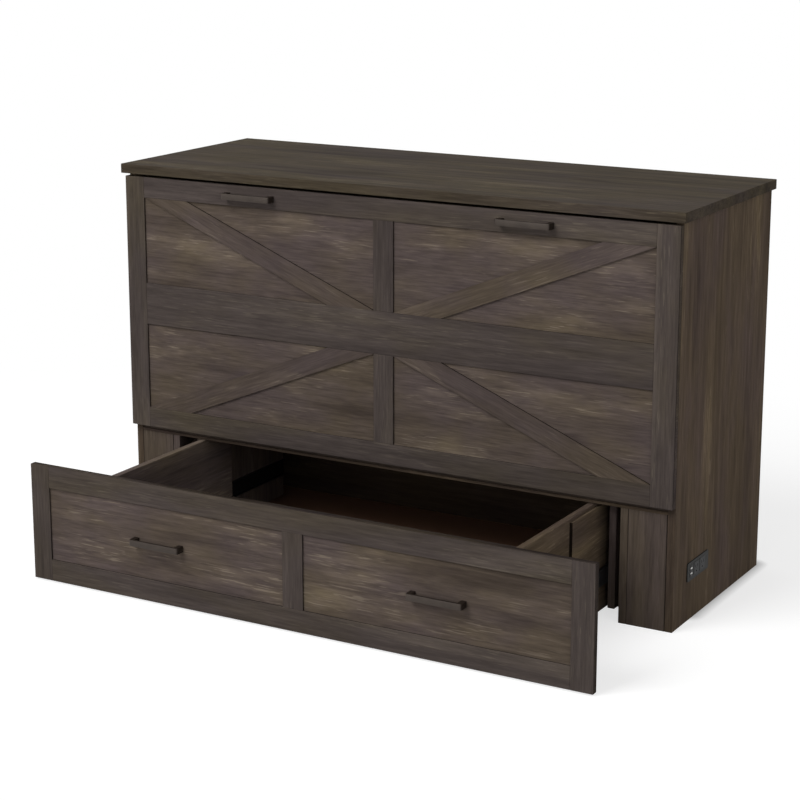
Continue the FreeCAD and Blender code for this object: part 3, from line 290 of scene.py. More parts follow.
class StudioSetup(bpy.types.PropertyGroup):
    """Floor, light and camera"""
    floor_size: FloatProperty(name="Floor", description="Side of the floor", unit="LENGTH", default=40.0)
    floor_tone: FloatVectorProperty(name="Floor tone", description="Colour of the floor", subtype="COLOR",
                                    size=3, min=0, max=1, default=(0.50, 0.50, 0.50))
    # Painted shade: a dark brown floor inside the cabinet, where shadow falls
    painted_shade_under_bed: FloatVectorProperty(name="Under the bed", description="Colour of the floor inside the cabinet",
                                   subtype="COLOR", size=3, min=0, max=1, default=(0.30, 0.165, 0.105))
    under_bed_inset: FloatProperty(name="Under the bed from", unit="LENGTH", default=0.1,
                                   description="From the front of the runner boards to the darker floor")
    under_bed_edge: FloatProperty(name="Under the bed edge", unit="LENGTH", default=0.015,
                                  description="Width over which the darker floor ends")
    floor_glow: FloatProperty(name="Floor glow", description="White that the camera sees on the floor",
                              subtype="FACTOR", min=0, max=1, default=0.66)
    glow_edge: FloatProperty(name="Glow edge", description="Distance from the cabinet at which the glow is full",
                             unit="LENGTH", default=0.05)
    white_from: FloatProperty(name="White from", description="Distance at which the floor starts to turn white",
                              unit="LENGTH", default=0.5)
    white_at: FloatProperty(name="White at", description="Distance at which the floor is white",
                            unit="LENGTH", default=1.8)
    ambient: FloatProperty(name="Ambient", description="Room light at the horizon", min=0, max=2, default=0.68)
    overhead: FloatProperty(name="Overhead", description="Room light from straight above", min=0, max=2,
                            default=0.25)
    key_place: FloatVectorProperty(name="Key place", description="Place of the key light", subtype="XYZ",
                                   unit="LENGTH", size=3, default=(-1.9, -4.4, 5.4))
    key_size: FloatProperty(name="Key size", description="Side of the key light", unit="LENGTH", default=3.8)
    key_power: FloatProperty(name="Key power", description="Power of the key light", unit="POWER", default=300.0)
    fill_place: FloatVectorProperty(name="Fill place", description="Place of the fill light", subtype="XYZ",
                                    unit="LENGTH", size=3, default=(4.6, -2.0, 2.0))
    fill_size: FloatProperty(name="Fill size", description="Side of the fill light", unit="LENGTH", default=3.0)
    fill_power: FloatProperty(name="Fill power", description="Power of the fill light", unit="POWER",
                              default=30.0)
    front_place: FloatVectorProperty(name="Front place", description="Place of the low front light",
                                     subtype="XYZ", unit="LENGTH", size=3, default=(-1.2, -5.2, 1.2))
    front_size: FloatProperty(name="Front size", description="Side of the low front light", unit="LENGTH",
                              default=1.5)
    front_power: FloatProperty(name="Front power", description="Power of the low front light", unit="POWER",
                               default=22.0)
    eye: FloatVectorProperty(name="Camera", description="Place of the camera", subtype="XYZ", unit="LENGTH",
                             size=3, default=(2.6126, -4.5458, 1.8322))
    azimuth: FloatProperty(name="Azimuth", description="Direction of the camera round the bed",
                           subtype="ANGLE", default=math.radians(29.827))
    elevation: FloatProperty(name="Elevation", description="How far the camera looks down",
                             subtype="ANGLE", default=math.radians(13.25))
    lens: FloatProperty(name="Lens", description="Focal length in millimetres", unit="CAMERA", default=94.18)
    rise: FloatProperty(name="Shift", description="Vertical lens shift", default=-0.06)


class WallBedSettings(bpy.types.PropertyGroup):
    """All settings of the wall bed"""
    walnut: PointerProperty(name="Walnut", description="Walnut laminate", type=WalnutFinish)
    hardware: PointerProperty(name="Hardware", description="Finishes of the hardware", type=HardwareFinish)
    pull: PointerProperty(name="Pulls", description="Shape of the pulls", type=PullShape)
    screws: PointerProperty(name="Screws", description="Sizes of the screws", type=ScrewSizes)
    tongue: PointerProperty(name="Tongues", description="Shape of the port tongues", type=TongueShape)
    studio: PointerProperty(name="Studio", description="Floor, light and camera", type=StudioSetup)


def settings():
    """Settings of the scene's wall bed."""
    return bpy.context.scene.wall_bed


# Nodes
def new_material(name):
    """A material with an empty node tree, a shader and its output."""
    material = bpy.data.materials.new(name)
    material.use_nodes = True
    tree = material.node_tree
    tree.nodes.clear()
    output = tree.nodes.new("ShaderNodeOutputMaterial")
    shader = tree.nodes.new("ShaderNodeBsdfPrincipled")
    tree.links.new(shader.outputs["BSDF"], output.inputs["Surface"])
    return material, tree, shader


def node_of(tree, kind):
    return next(node for node in tree.nodes if node.type == kind)


def socket_of(sockets, identifier):
    return next(socket for socket in sockets if socket.identifier == identifier)


def feed(tree, target, value):
    """Link a socket to an input, or set a number or a colour on it."""
    if isinstance(value, bpy.types.NodeSocket):
        tree.links.new(value, target)
    elif isinstance(value, (int, float)):
        target.default_value = value
    else:
        target.default_value = (*value, 1.0)


def axes(tree, coordinate):
    """X, Y and Z of a texture coordinate, such as Object or Normal."""
    coords = tree.nodes.new("ShaderNodeTexCoord")
    parts = tree.nodes.new("ShaderNodeSeparateXYZ")
    tree.links.new(coords.outputs[coordinate], parts.inputs["Vector"])
    return parts.outputs


def pattern_space(tree, turn=ALONG_X, shift=(0.0, 0.0, 0.0)):
    """Object coordinates, turned so that the grain runs along X."""
    coords = tree.nodes.new("ShaderNodeTexCoord")
    turned = tree.nodes.new("ShaderNodeMapping")
    turned.inputs["Rotation"].default_value = turn
    turned.inputs["Location"].default_value = shift
    tree.links.new(coords.outputs["Object"], turned.inputs["Vector"])
    return turned.outputs["Vector"]


def noise(tree, space, pattern):
    """Noise with a scale of its own along, across and through the piece."""
    stretch = tree.nodes.new("ShaderNodeMapping")
    stretch.inputs["Scale"].default_value = pattern.scale
    tree.links.new(space, stretch.inputs["Vector"])
    node = tree.nodes.new("ShaderNodeTexNoise")
    node.inputs["Scale"].default_value = 1.0
    node.inputs["Detail"].default_value = pattern.detail
    node.inputs["Roughness"].default_value = pattern.roughness
    node.inputs["Distortion"].default_value = pattern.distortion
    tree.links.new(stretch.outputs["Vector"], node.inputs["Vector"])
    return node.outputs["Fac"]


def ramp(tree, value, stops):
    """A colour ramp with the given (position, colour) stops."""
    node = tree.nodes.new("ShaderNodeValToRGB")
    elements = node.color_ramp.elements
    while len(elements) < len(stops):
        elements.new(0.5)
    for element, (position, colour) in zip(elements, stops):
        element.position = position
        element.color = (*colour, 1.0)
    tree.links.new(value, node.inputs["Fac"])
    return node.outputs["Color"]


def ranged(tree, value, low, high, new_low=0.0, new_high=1.0):
    """The value mapped from one range to another, held at its ends."""
    node = tree.nodes.new("ShaderNodeMapRange")
    node.inputs["From Min"].default_value = low
    node.inputs["From Max"].default_value = high
    node.inputs["To Min"].default_value = new_low
    node.inputs["To Max"].default_value = new_high
    tree.links.new(value, node.inputs["Value"])
    return node.outputs["Result"]


def mixed(tree, blend, factor, first, second):
    """Two colours mixed; a number, colour or socket may be given for each input."""
    node = tree.nodes.new("ShaderNodeMix")
    node.data_type = "RGBA"
    node.blend_type = blend
    for name, value in (("Factor_Float", factor), ("A_Color", first), ("B_Color", second)):
        feed(tree, socket_of(node.inputs, name), value)
    return socket_of(node.outputs, "Result_Color")


def times(tree, first, second):
    """Two colours multiplied."""
    return mixed(tree, "MULTIPLY", 1.0, first, second)


def math_node(tree, operation, first, second=0.0):
    """A sum, product or test of numbers or sockets."""
    node = tree.nodes.new("ShaderNodeMath")
    node.operation = operation
    feed(tree, node.inputs[0], first)
    feed(tree, node.inputs[1], second)
    return node.outputs["Value"]


def scaled(colour, factor):
    return [factor * channel for channel in colour]


def varied(tree, value, colour, low, high, span=SPAN):
    """A colour that goes from low to high times itself over a span of a noise."""
    return ramp(tree, value, [(span[0], scaled(colour, low)), (span[1], scaled(colour, high))])


def swing(tree, value, depth):
    """Grey multiplier that swings by depth about 1 over a noise."""
    return varied(tree, value, WHITE, 1 - depth, 1 + depth)


def roughen(tree, shader, value, low, high):
    """Let the roughness follow a noise."""
    tree.links.new(ranged(tree, value, *SPAN, low, high), shader.inputs["Roughness"])


def bump(tree, shader, height, strength, distance):
    """Let a noise raise the surface."""
    node = tree.nodes.new("ShaderNodeBump")
    node.inputs["Strength"].default_value = strength
    node.inputs["Distance"].default_value = distance
    tree.links.new(height, node.inputs["Height"])
    tree.links.new(node.outputs["Normal"], shader.inputs["Normal"])


# Finishes
def walnut_surface(tree, shader, space, board):
    """Figure, tints, streaks and short dashes of the laminate along X of the pattern space."""
    finish = settings().walnut
    figure = noise(tree, space, Pattern((board.run, FIGURE_ACROSS, FIGURE_ACROSS),
                                        detail=4.0, roughness=0.58, distortion=0.2))
    figured = ramp(tree, figure, [(DARK_AT, finish.dark), (MIDDLE_FROM, finish.middle),
                                  (MIDDLE_TO, finish.middle), (LIGHT_AT, finish.light)])
    colour = mixed(tree, "MIX", board.figure, finish.middle, figured)
    patches = noise(tree, space, Pattern((PATCH_RUN * board.run, PATCH_ACROSS, PATCH_ACROSS),
                                         detail=3.0, roughness=0.6))
    move = WARMTH_MOVE * board.warmth
    warmth = ranged(tree, patches, COOL_AT - move, WARM_AT - move)
    colour = times(tree, colour, mixed(tree, "MIX", warmth, finish.cool, finish.warm))
    streaks = noise(tree, space, STREAKS)
    depth = (STREAK_DEPTH + STREAK_GAIN * board.figure) / board.run
    colour = times(tree, colour, swing(tree, streaks, depth))
    grain = noise(tree, space, GRAIN)
    colour = times(tree, colour, swing(tree, grain, GRAIN_DEPTH + GRAIN_GAIN * board.figure))
    dashes = noise(tree, space, DASHES)
    lit = math_node(tree, "MULTIPLY", ranged(tree, dashes, DASH_FROM, DASH_FULL, 0.0, DASH_STRENGTH),
                    ranged(tree, figure, DASHED_FROM, DASHED_FULL, 0.0, board.figure))
    colour = mixed(tree, "MIX", lit, colour, scaled(finish.light, DASH_LIGHTNESS))
    # Painted light and shade: each face is lightened or darkened by the way it looks
    tree.links.new(times(tree, colour, painted_face_shade(tree, board)), shader.inputs["Base Color"])
    roughen(tree, shader, grain, finish.roughness - LAMINATE_SWING, finish.roughness + LAMINATE_SWING)
    shader.inputs["Specular IOR Level"].default_value = finish.gloss
    bump(tree, shader, math_node(tree, "ADD", grain, dashes), finish.relief_strength, finish.relief)


def painted_face_shade(tree, board):
    """Painted light and shade: one lightness on faces that look to the front or back, another on the rest."""
    facing = math_node(tree, "ABSOLUTE", axes(tree, "Normal")["Y"])
    return mixed(tree, "MIX", math_node(tree, "GREATER_THAN", facing, FACES_FRONT),
                 scaled(board.hue, board.rest), scaled(board.hue, board.front))


def walnut(name, board):
    """Walnut laminate of one board."""
    material, tree, shader = new_material(name)
    walnut_surface(tree, shader, pattern_space(tree, board.turn, board.shift), board)
    return material


def overlay(material, tone):
    """Multiply a finish by a tone."""
    tree = material.node_tree
    colour = node_of(tree, "BSDF_PRINCIPLED").inputs["Base Color"]
    tree.links.new(times(tree, colour.links[0].from_socket, tone), colour)


def joint_lines(material, low, high, width):
    """Darken a pair of mirrored boards along their upright edges, where they meet their neighbours."""
    tree = material.node_tree
    across = math_node(tree, "ABSOLUTE", axes(tree, "Object")["X"])
    from_middle = math_node(tree, "ABSOLUTE", math_node(tree, "SUBTRACT", across, (low + high) / 2))
    edge = (high - low) / 2
    overlay(material, ranged(tree, from_middle, edge - width, edge - width / 2, 1.0, JOINT_SHADE))


def walnut_brace(name, slope, level):
    """Walnut whose grain follows the four braces: rising to the right or left by turns about the middle."""
    material, tree, shader = new_material(name)
    rising = pattern_space(tree, (0.0, slope, 0.0), BRACE.shift)
    falling = pattern_space(tree, (0.0, -slope, 0.0), BRACE.shift)
    place = axes(tree, "Object")
    above = math_node(tree, "SUBTRACT", place["Z"], level)
    quarter = math_node(tree, "MULTIPLY", place["X"], above)
    choice = tree.nodes.new("ShaderNodeMix")
    choice.data_type = "VECTOR"
    for identifier, link in (("Factor_Float", math_node(tree, "GREATER_THAN", quarter)),
                             ("A_Vector", falling), ("B_Vector", rising)):
        tree.links.new(link, socket_of(choice.inputs, identifier))
    walnut_surface(tree, shader, socket_of(choice.outputs, "Result_Vector"), BRACE)
    return material


def plain_board(name, turn, shift):
    """Dark unfigured board for inner pieces, with short fibres."""
    finish = settings().walnut
    material, tree, shader = new_material(name)
    space = pattern_space(tree, turn, shift)
    clouds = noise(tree, space, CLOUDS)
    colour = ramp(tree, clouds, list(zip(INNER_SPAN, (finish.dark, finish.middle))))
    fibres = noise(tree, space, FIBRES)
    shade = varied(tree, fibres, WHITE, low=0.84, high=1.12, span=INNER_SPAN)
    tree.links.new(times(tree, times(tree, colour, UMBER), shade), shader.inputs["Base Color"])
    roughen(tree, shader, clouds, low=0.62, high=0.76)
    shader.inputs["Specular IOR Level"].default_value = INNER_GLOSS
    bump(tree, shader, fibres, finish.relief_strength, finish.relief)
    return material


def coated_metal(name, colour, metallic, roughness, speckle):
    """Metal with a thin dull coat: a fine grain in its roughness and a faint unevenness in its tone."""
    hardware = settings().hardware
    material, tree, shader = new_material(name)
    space = pattern_space(tree)
    grain = noise(tree, space, Pattern((speckle, speckle, speckle), detail=3.0, roughness=0.6))
    shade = varied(tree, noise(tree, space, WEAR), colour, low=0.86, high=1.14)
    tree.links.new(shade, shader.inputs["Base Color"])
    shader.inputs["Metallic"].default_value = metallic
    shader.inputs["Specular IOR Level"].default_value = METAL_GLOSS
    roughen(tree, shader, grain, low=roughness - 0.06, high=roughness + 0.08)
    bump(tree, shader, grain, strength=0.08, distance=hardware.relief)
    return material


def bronze_with_painted_shade(name):
    """Dull bronze with painted shade: lighter on the face of a strap and darker on its sides and ends."""
    hardware = settings().hardware
    material = coated_metal(name, hardware.bronze, metallic=0.3, roughness=0.48, speckle=1600.0)
    tree = material.node_tree
    # Painted shade: the strap's sides and ends are darkened by the way their faces look
    side = ranged(tree, axes(tree, "Normal")["Y"], STRAP_LIT_FACE, STRAP_SHADED_SIDE)
    overlay(material, mixed(tree, "MIX", side, WHITE, hardware.bronze_side_shade))
    return material


def brushed_zinc(name):
    """Plated steel with fine drawn lines along X and a mottled tone."""
    hardware = settings().hardware
    material, tree, shader = new_material(name)
    space = pattern_space(tree)
    lines = noise(tree, space, DRAWN_LINES)
    shade = varied(tree, noise(tree, space, MOTTLE), hardware.zinc, low=0.82, high=1.12)
    tree.links.new(shade, shader.inputs["Base Color"])
    shader.inputs["Metallic"].default_value = 1.0
    roughen(tree, shader, lines, low=0.36, high=0.54)
    bump(tree, shader, lines, strength=0.05, distance=hardware.relief)
    return material


def moulded(name, colour, roughness, erosion):
    """Moulded plastic or rubber with a fine eroded surface."""
    hardware = settings().hardware
    material, tree, shader = new_material(name)
    shader.inputs["Specular IOR Level"].default_value = MOULDED_GLOSS
    pits = noise(tree, pattern_space(tree), Pattern((erosion, erosion, erosion), detail=2.0))
    tree.links.new(varied(tree, pits, colour, low=0.92, high=1.06), shader.inputs["Base Color"])
    roughen(tree, shader, pits, low=roughness - 0.05, high=roughness + 0.05)
    bump(tree, shader, pits, strength=0.12, distance=hardware.relief)
    return material


def dress(material, *names):
    """Give CAD nodes their finish."""
    for name in names:
        slots = NODES[name].data.materials
        slots.clear()
        slots.append(material)


def dress_boards(*names):
    """Give boards their own walnut."""
    for name in names:
        dress(walnut(f"walnut_{name}", BOARDS[name]), name)


def dress_plain(*names):
    """Give inner boards their plain finish."""
    for name in names:
        dress(plain_board(f"board_{name}", *PLAIN_BOARDS[name]), name)


# Meshes
def middle_height(node):
    """Height of the middle of a CAD node's box."""
    return sum(corner.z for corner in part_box(node)) / 2


def finished(mesh, name, material, body):
    """Turn a bmesh into a piece that rides on a body."""
    bmesh.ops.remove_doubles(mesh, verts=mesh.verts, dist=MERGE)
    bmesh.ops.recalc_face_normals(mesh, faces=mesh.faces)
    data = bpy.data.meshes.new(name)
    mesh.to_mesh(data)
    mesh.free()
    data.materials.append(material)
    piece = bpy.data.objects.new(name, data)
    bpy.context.scene.collection.objects.link(piece)
    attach(piece, body)
    return piece


def smooth_by_angle(piece):
    """Shade rounded faces smooth and keep sharp edges."""
    mesh = bmesh.new()
    mesh.from_mesh(piece.data)
    for face in mesh.faces:
        face.smooth = True
    for edge in mesh.edges:
        edge.smooth = len(edge.link_faces) == 2 and edge.calc_face_angle() < SMOOTH_BELOW
    mesh.to_mesh(piece.data)
    mesh.free()


def round_edges(mesh, edges, radius, steps):
    """Round edges of a bmesh."""
    bmesh.ops.bevel(mesh, geom=edges, offset=radius, offset_type="OFFSET", segments=steps,
                    profile=0.5, affect="EDGES", material=-1)


def pull_mesh(low, high, shape):
    """A bridge pull between two corners: outline of strap and posts, raised, with rounded corners and edges."""
    back = high.y
    inner = low.y + shape.strap
    outline = [(low.x, back), (low.x, low.y), (high.x, low.y), (high.x, back),
               (high.x - shape.post, back), (high.x - shape.post, inner),
               (low.x + shape.post, inner), (low.x + shape.post, back)]
    mesh = bmesh.new()
    face = mesh.faces.new([mesh.verts.new((x, y, low.z)) for x, y in outline])
    raised = bmesh.ops.extrude_face_region(mesh, geom=[face])
    top = [v for v in raised["geom"] if isinstance(v, bmesh.types.BMVert)]
    bmesh.ops.translate(mesh, verts=top, vec=(0, 0, high.z - low.z))
    uprights = [e for e in mesh.edges if abs(e.verts[0].co.z - e.verts[1].co.z) > shape.edge
                and e.verts[0].co.y < low.y + shape.edge]
    round_edges(mesh, uprights, shape.corner, CORNER_STEPS)
    sharp = [e for e in mesh.edges if e.calc_face_angle() > ROUNDED_ABOVE
             and max(v.co.y for v in e.verts) < back - shape.edge]
    round_edges(mesh, sharp, shape.edge, EDGE_STEPS)
    return mesh


def screw_head(mesh, place, normal, radius, height):
    """A pan head with a round recess, standing on a face."""
    turn = normal.to_track_quat("Z", "Y").to_matrix().to_4x4()
    made = bmesh.ops.create_cone(mesh, cap_ends=True, cap_tris=False, segments=HEAD_SIDES, radius1=radius,
                                 radius2=HEAD_TAPER * radius, depth=height,
                                 matrix=Matrix.Translation(place + normal * height / 2) @ turn)
    faces = (face for vert in made["verts"] for face in vert.link_faces)
    top = max(faces, key=lambda face: face.calc_center_median().dot(normal))
    bmesh.ops.inset_individual(mesh, faces=[top], thickness=HEAD_RIM * radius)
    bmesh.ops.translate(mesh, verts=top.verts, vec=-normal * HEAD_RECESS * height)


def rows_of_screws(name, places, normal, radius, height, material, body):
    """Screw heads at the given places, as one piece."""
    mesh = bmesh.new()
    for place in places:
        screw_head(mesh, Vector(place), Vector(normal), radius, height)
    smooth_by_angle(finished(mesh, name, material, body))


class WALLBED_OT_cabinet(bpy.types.Operator):
    """Dress the cabinet's sides, columns, deck and back"""
    bl_idname = "wallbed.cabinet"
    bl_label = "Cabinet"

    def execute(self, context):
        dress_boards("left_side_panel", "right_side_panel", "plinth_boards", "return_strips", "runner_boards",
                     "deck_bottom_panel", "bed_deck", "back_panel", "top_rear_rail")
        dress_plain("runner_spacers", "deck_cleats", "deck_battens")
        joint_lines(NODES["plinth_boards"].data.materials[0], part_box("return_strips")[1].x,
                    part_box("plinth_boards")[1].x, settings().walnut.joint)
        self.back_screws()
        return {"FINISHED"}

    def back_screws(self):
        """Screws through the back panel into the rear rail and into the deck."""
        screws = settings().screws
        low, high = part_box("back_panel")
        levels = [middle_height(board) for board in ("top_rear_rail", "bed_deck")]
        pitch = (high.x - low.x) / screws.back_count
        places = [(low.x + (i + 0.5) * pitch, high.y, level)
                  for level in levels for i in range(screws.back_count)]
        black = coated_metal("back_screw_coat", settings().hardware.slide,
                             metallic=0.35, roughness=0.4, speckle=900.0)
        rows_of_screws("back_panel_screws", places, (0, 1, 0), screws.back_radius, screws.back_height, black,
                       "cabinet")


class WALLBED_OT_lid(bpy.types.Operator):
    """Dress the lid"""
    bl_idname = "wallbed.lid"
    bl_label = "Lid"

    def execute(self, context):
        dress_boards("lid_slab")
        return {"FINISHED"}


class WALLBED_OT_front_panel(bpy.types.Operator):
    """Dress the folding front panel and its braces"""
    bl_idname = "wallbed.front_panel"
    bl_label = "Front panel"

    def execute(self, context):
        dress_boards("door_core", "door_rails", "door_stiles", "door_centre_stiles")
        low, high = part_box("door_braces")
        slope = math.atan2(high.z - low.z, high.x - low.x)
        dress(walnut_brace("walnut_door_braces", slope, middle_height("door_core")), "door_braces")
        return {"FINISHED"}


class WALLBED_OT_drawer(bpy.types.Operator):
    """Dress the drawer"""
    bl_idname = "wallbed.drawer"
    bl_label = "Drawer"

    def execute(self, context):
        dress_boards("drawer_front_core", "drawer_front_rails", "drawer_front_stiles", "left_drawer_side",
                     "right_drawer_side", "drawer_cheeks", "drawer_back")
        dress_plain("drawer_bottom", "drawer_skid")
        return {"FINISHED"}


class WALLBED_OT_pulls(bpy.types.Operator):
    """Make the four bridge pulls and dress their screws"""
    bl_idname = "wallbed.pulls"
    bl_label = "Pulls"

    def execute(self, context):
        bronze = bronze_with_painted_shade("bronze_coat")
        for front, body in (("door", "front_panel"), ("drawer", "drawer")):
            for side in ("left", "right"):
                node = f"{side}_{front}_handle"
                mesh = pull_mesh(*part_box(node), settings().pull)
                piece = finished(mesh, f"{side}_{front}_pull", bronze, body)
                smooth_by_angle(piece)
                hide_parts(node)
        dress(brushed_zinc("zinc_pull_screws"), "door_handle_screws", "drawer_handle_screws")
        return {"FINISHED"}


class WALLBED_OT_slides(bpy.types.Operator):
    """Dress the telescopic slides and screw the drawer members to the cheeks"""
    bl_idname = "wallbed.slides"
    bl_label = "Slides"

    def execute(self, context):
        screws = settings().screws
        black = coated_metal("slide_coat", settings().hardware.slide,
                             metallic=0.35, roughness=0.34, speckle=900.0)
        dress(black, "slide_cabinet_members", "slide_middle_members", "slide_drawer_members")
        zinc = brushed_zinc("zinc_slide_screws")
        low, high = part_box("slide_drawer_members")
        sheet_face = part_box("drawer_cheeks")[1].x + screws.slide_sheet
        pitch = (high.y - low.y) / screws.slide_count
        for side, sign in (("left", -1), ("right", 1)):
            places = [(sign * sheet_face, low.y + (i + 0.5) * pitch, middle_height("slide_drawer_members"))
                      for i in range(screws.slide_count)]
            rows_of_screws(f"{side}_slide_screws", places, (sign, 0, 0), screws.slide_radius,
                           screws.slide_height, zinc, "drawer")
        return {"FINISHED"}


class WALLBED_OT_hinges(bpy.types.Operator):
    """Dress hinges, pins, catches and strikes"""
    bl_idname = "wallbed.hinges"
    bl_label = "Hinges and catches"

    def execute(self, context):
        zinc = brushed_zinc("zinc_hinges")
        dress(zinc, "fold_hinge_deck_leaves", "fold_hinge_door_leaves", "fold_hinge_pins",
              "lid_hinge_cabinet_leaves", "lid_hinge_lid_leaves", "lid_hinge_pins",
              "foot_hinge_door_leaves", "foot_hinge_foot_leaves", "foot_hinge_pins",
              "catch_strikes", "leg_pins")
        dress(moulded("catch_housing", settings().hardware.catch, roughness=0.55, erosion=900.0),
              "magnetic_catches")
        for leaves, (body, part) in HINGE_ROWS.items():
            self.leaf_screws(leaves, body, part, zinc)
        return {"FINISHED"}

    def leaf_screws(self, leaves, body, part, zinc):
        """Two raised heads on every leaf of a row, at a part of the leaf's height."""
        screws = settings().screws
        low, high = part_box(leaves)
        reach = high.x - screws.hinge_leaf / 2
        places = [(middle + side * screws.hinge_spread, high.y, low.z + part * (high.z - low.z))
                  for middle in (-reach, 0.0, reach) for side in (-1, 1)]
        rows_of_screws(leaves.replace("leaves", "screws"), places, (0, 1, 0), screws.hinge_radius,
                       screws.hinge_height, zinc, body)


class WALLBED_OT_foot_section(bpy.types.Operator):
    """Dress the foot board and its folding legs"""
    bl_idname = "wallbed.foot_section"
    bl_label = "Foot section"

    def execute(self, context):
        hardware = settings().hardware
        dress_boards("foot_board_panel")
        dress_plain("foot_stiffeners")
        dress(coated_metal("leg_powder_coat", hardware.leg, metallic=0.2, roughness=0.46, speckle=700.0),
              "left_leg", "right_leg", "leg_crossbar", "leg_brackets")
        dress(moulded("cap_rubber", hardware.cap, roughness=0.8, erosion=700.0), "leg_caps")
        return {"FINISHED"}


class WALLBED_OT_outlet(bpy.types.Operator):
    """Dress the power outlet and put the tongues in its charging ports"""
    bl_idname = "wallbed.outlet"
    bl_label = "Outlet"

    def execute(self, context):
        hardware = settings().hardware
        dress(moulded("outlet_cover", hardware.cover, roughness=0.48, erosion=1400.0),
              "outlet_plate", "outlet_box")
        dress(moulded("outlet_insert", hardware.insert, roughness=0.34, erosion=2200.0),
              "outlet_sockets", "outlet_charging_ports")
        self.tongues(moulded("port_tongue", hardware.tongue, roughness=0.4, erosion=1200.0))
        return {"FINISHED"}

    def tongues(self, white):
        """A rounded tongue in the middle of every charging port, from its floor to the insert's face."""
        shape = settings().tongue
        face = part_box("outlet_charging_ports")[1].x
        mesh = bmesh.new()
        for opening in frame["record"]["physics"]["openings"]:
            if not opening["name"].endswith("charging_port"):
                continue
            low, high = (Vector(corner) for corner in opening["box_m"])
            middle = (low + high) / 2
            deep = face - low.x - shape.set_back
            place = Matrix.Translation((low.x + deep / 2, middle.y, middle.z))
            size = Matrix.Diagonal((deep, shape.wide, shape.thick, 1.0))
            bmesh.ops.create_cube(mesh, size=1.0, matrix=place @ size)
        if not mesh.verts:
            raise RuntimeError("The record has no charging port")
        round_edges(mesh, mesh.edges[:], shape.edge, EDGE_STEPS)
        finished(mesh, "charging_port_tongues", white, "cabinet")


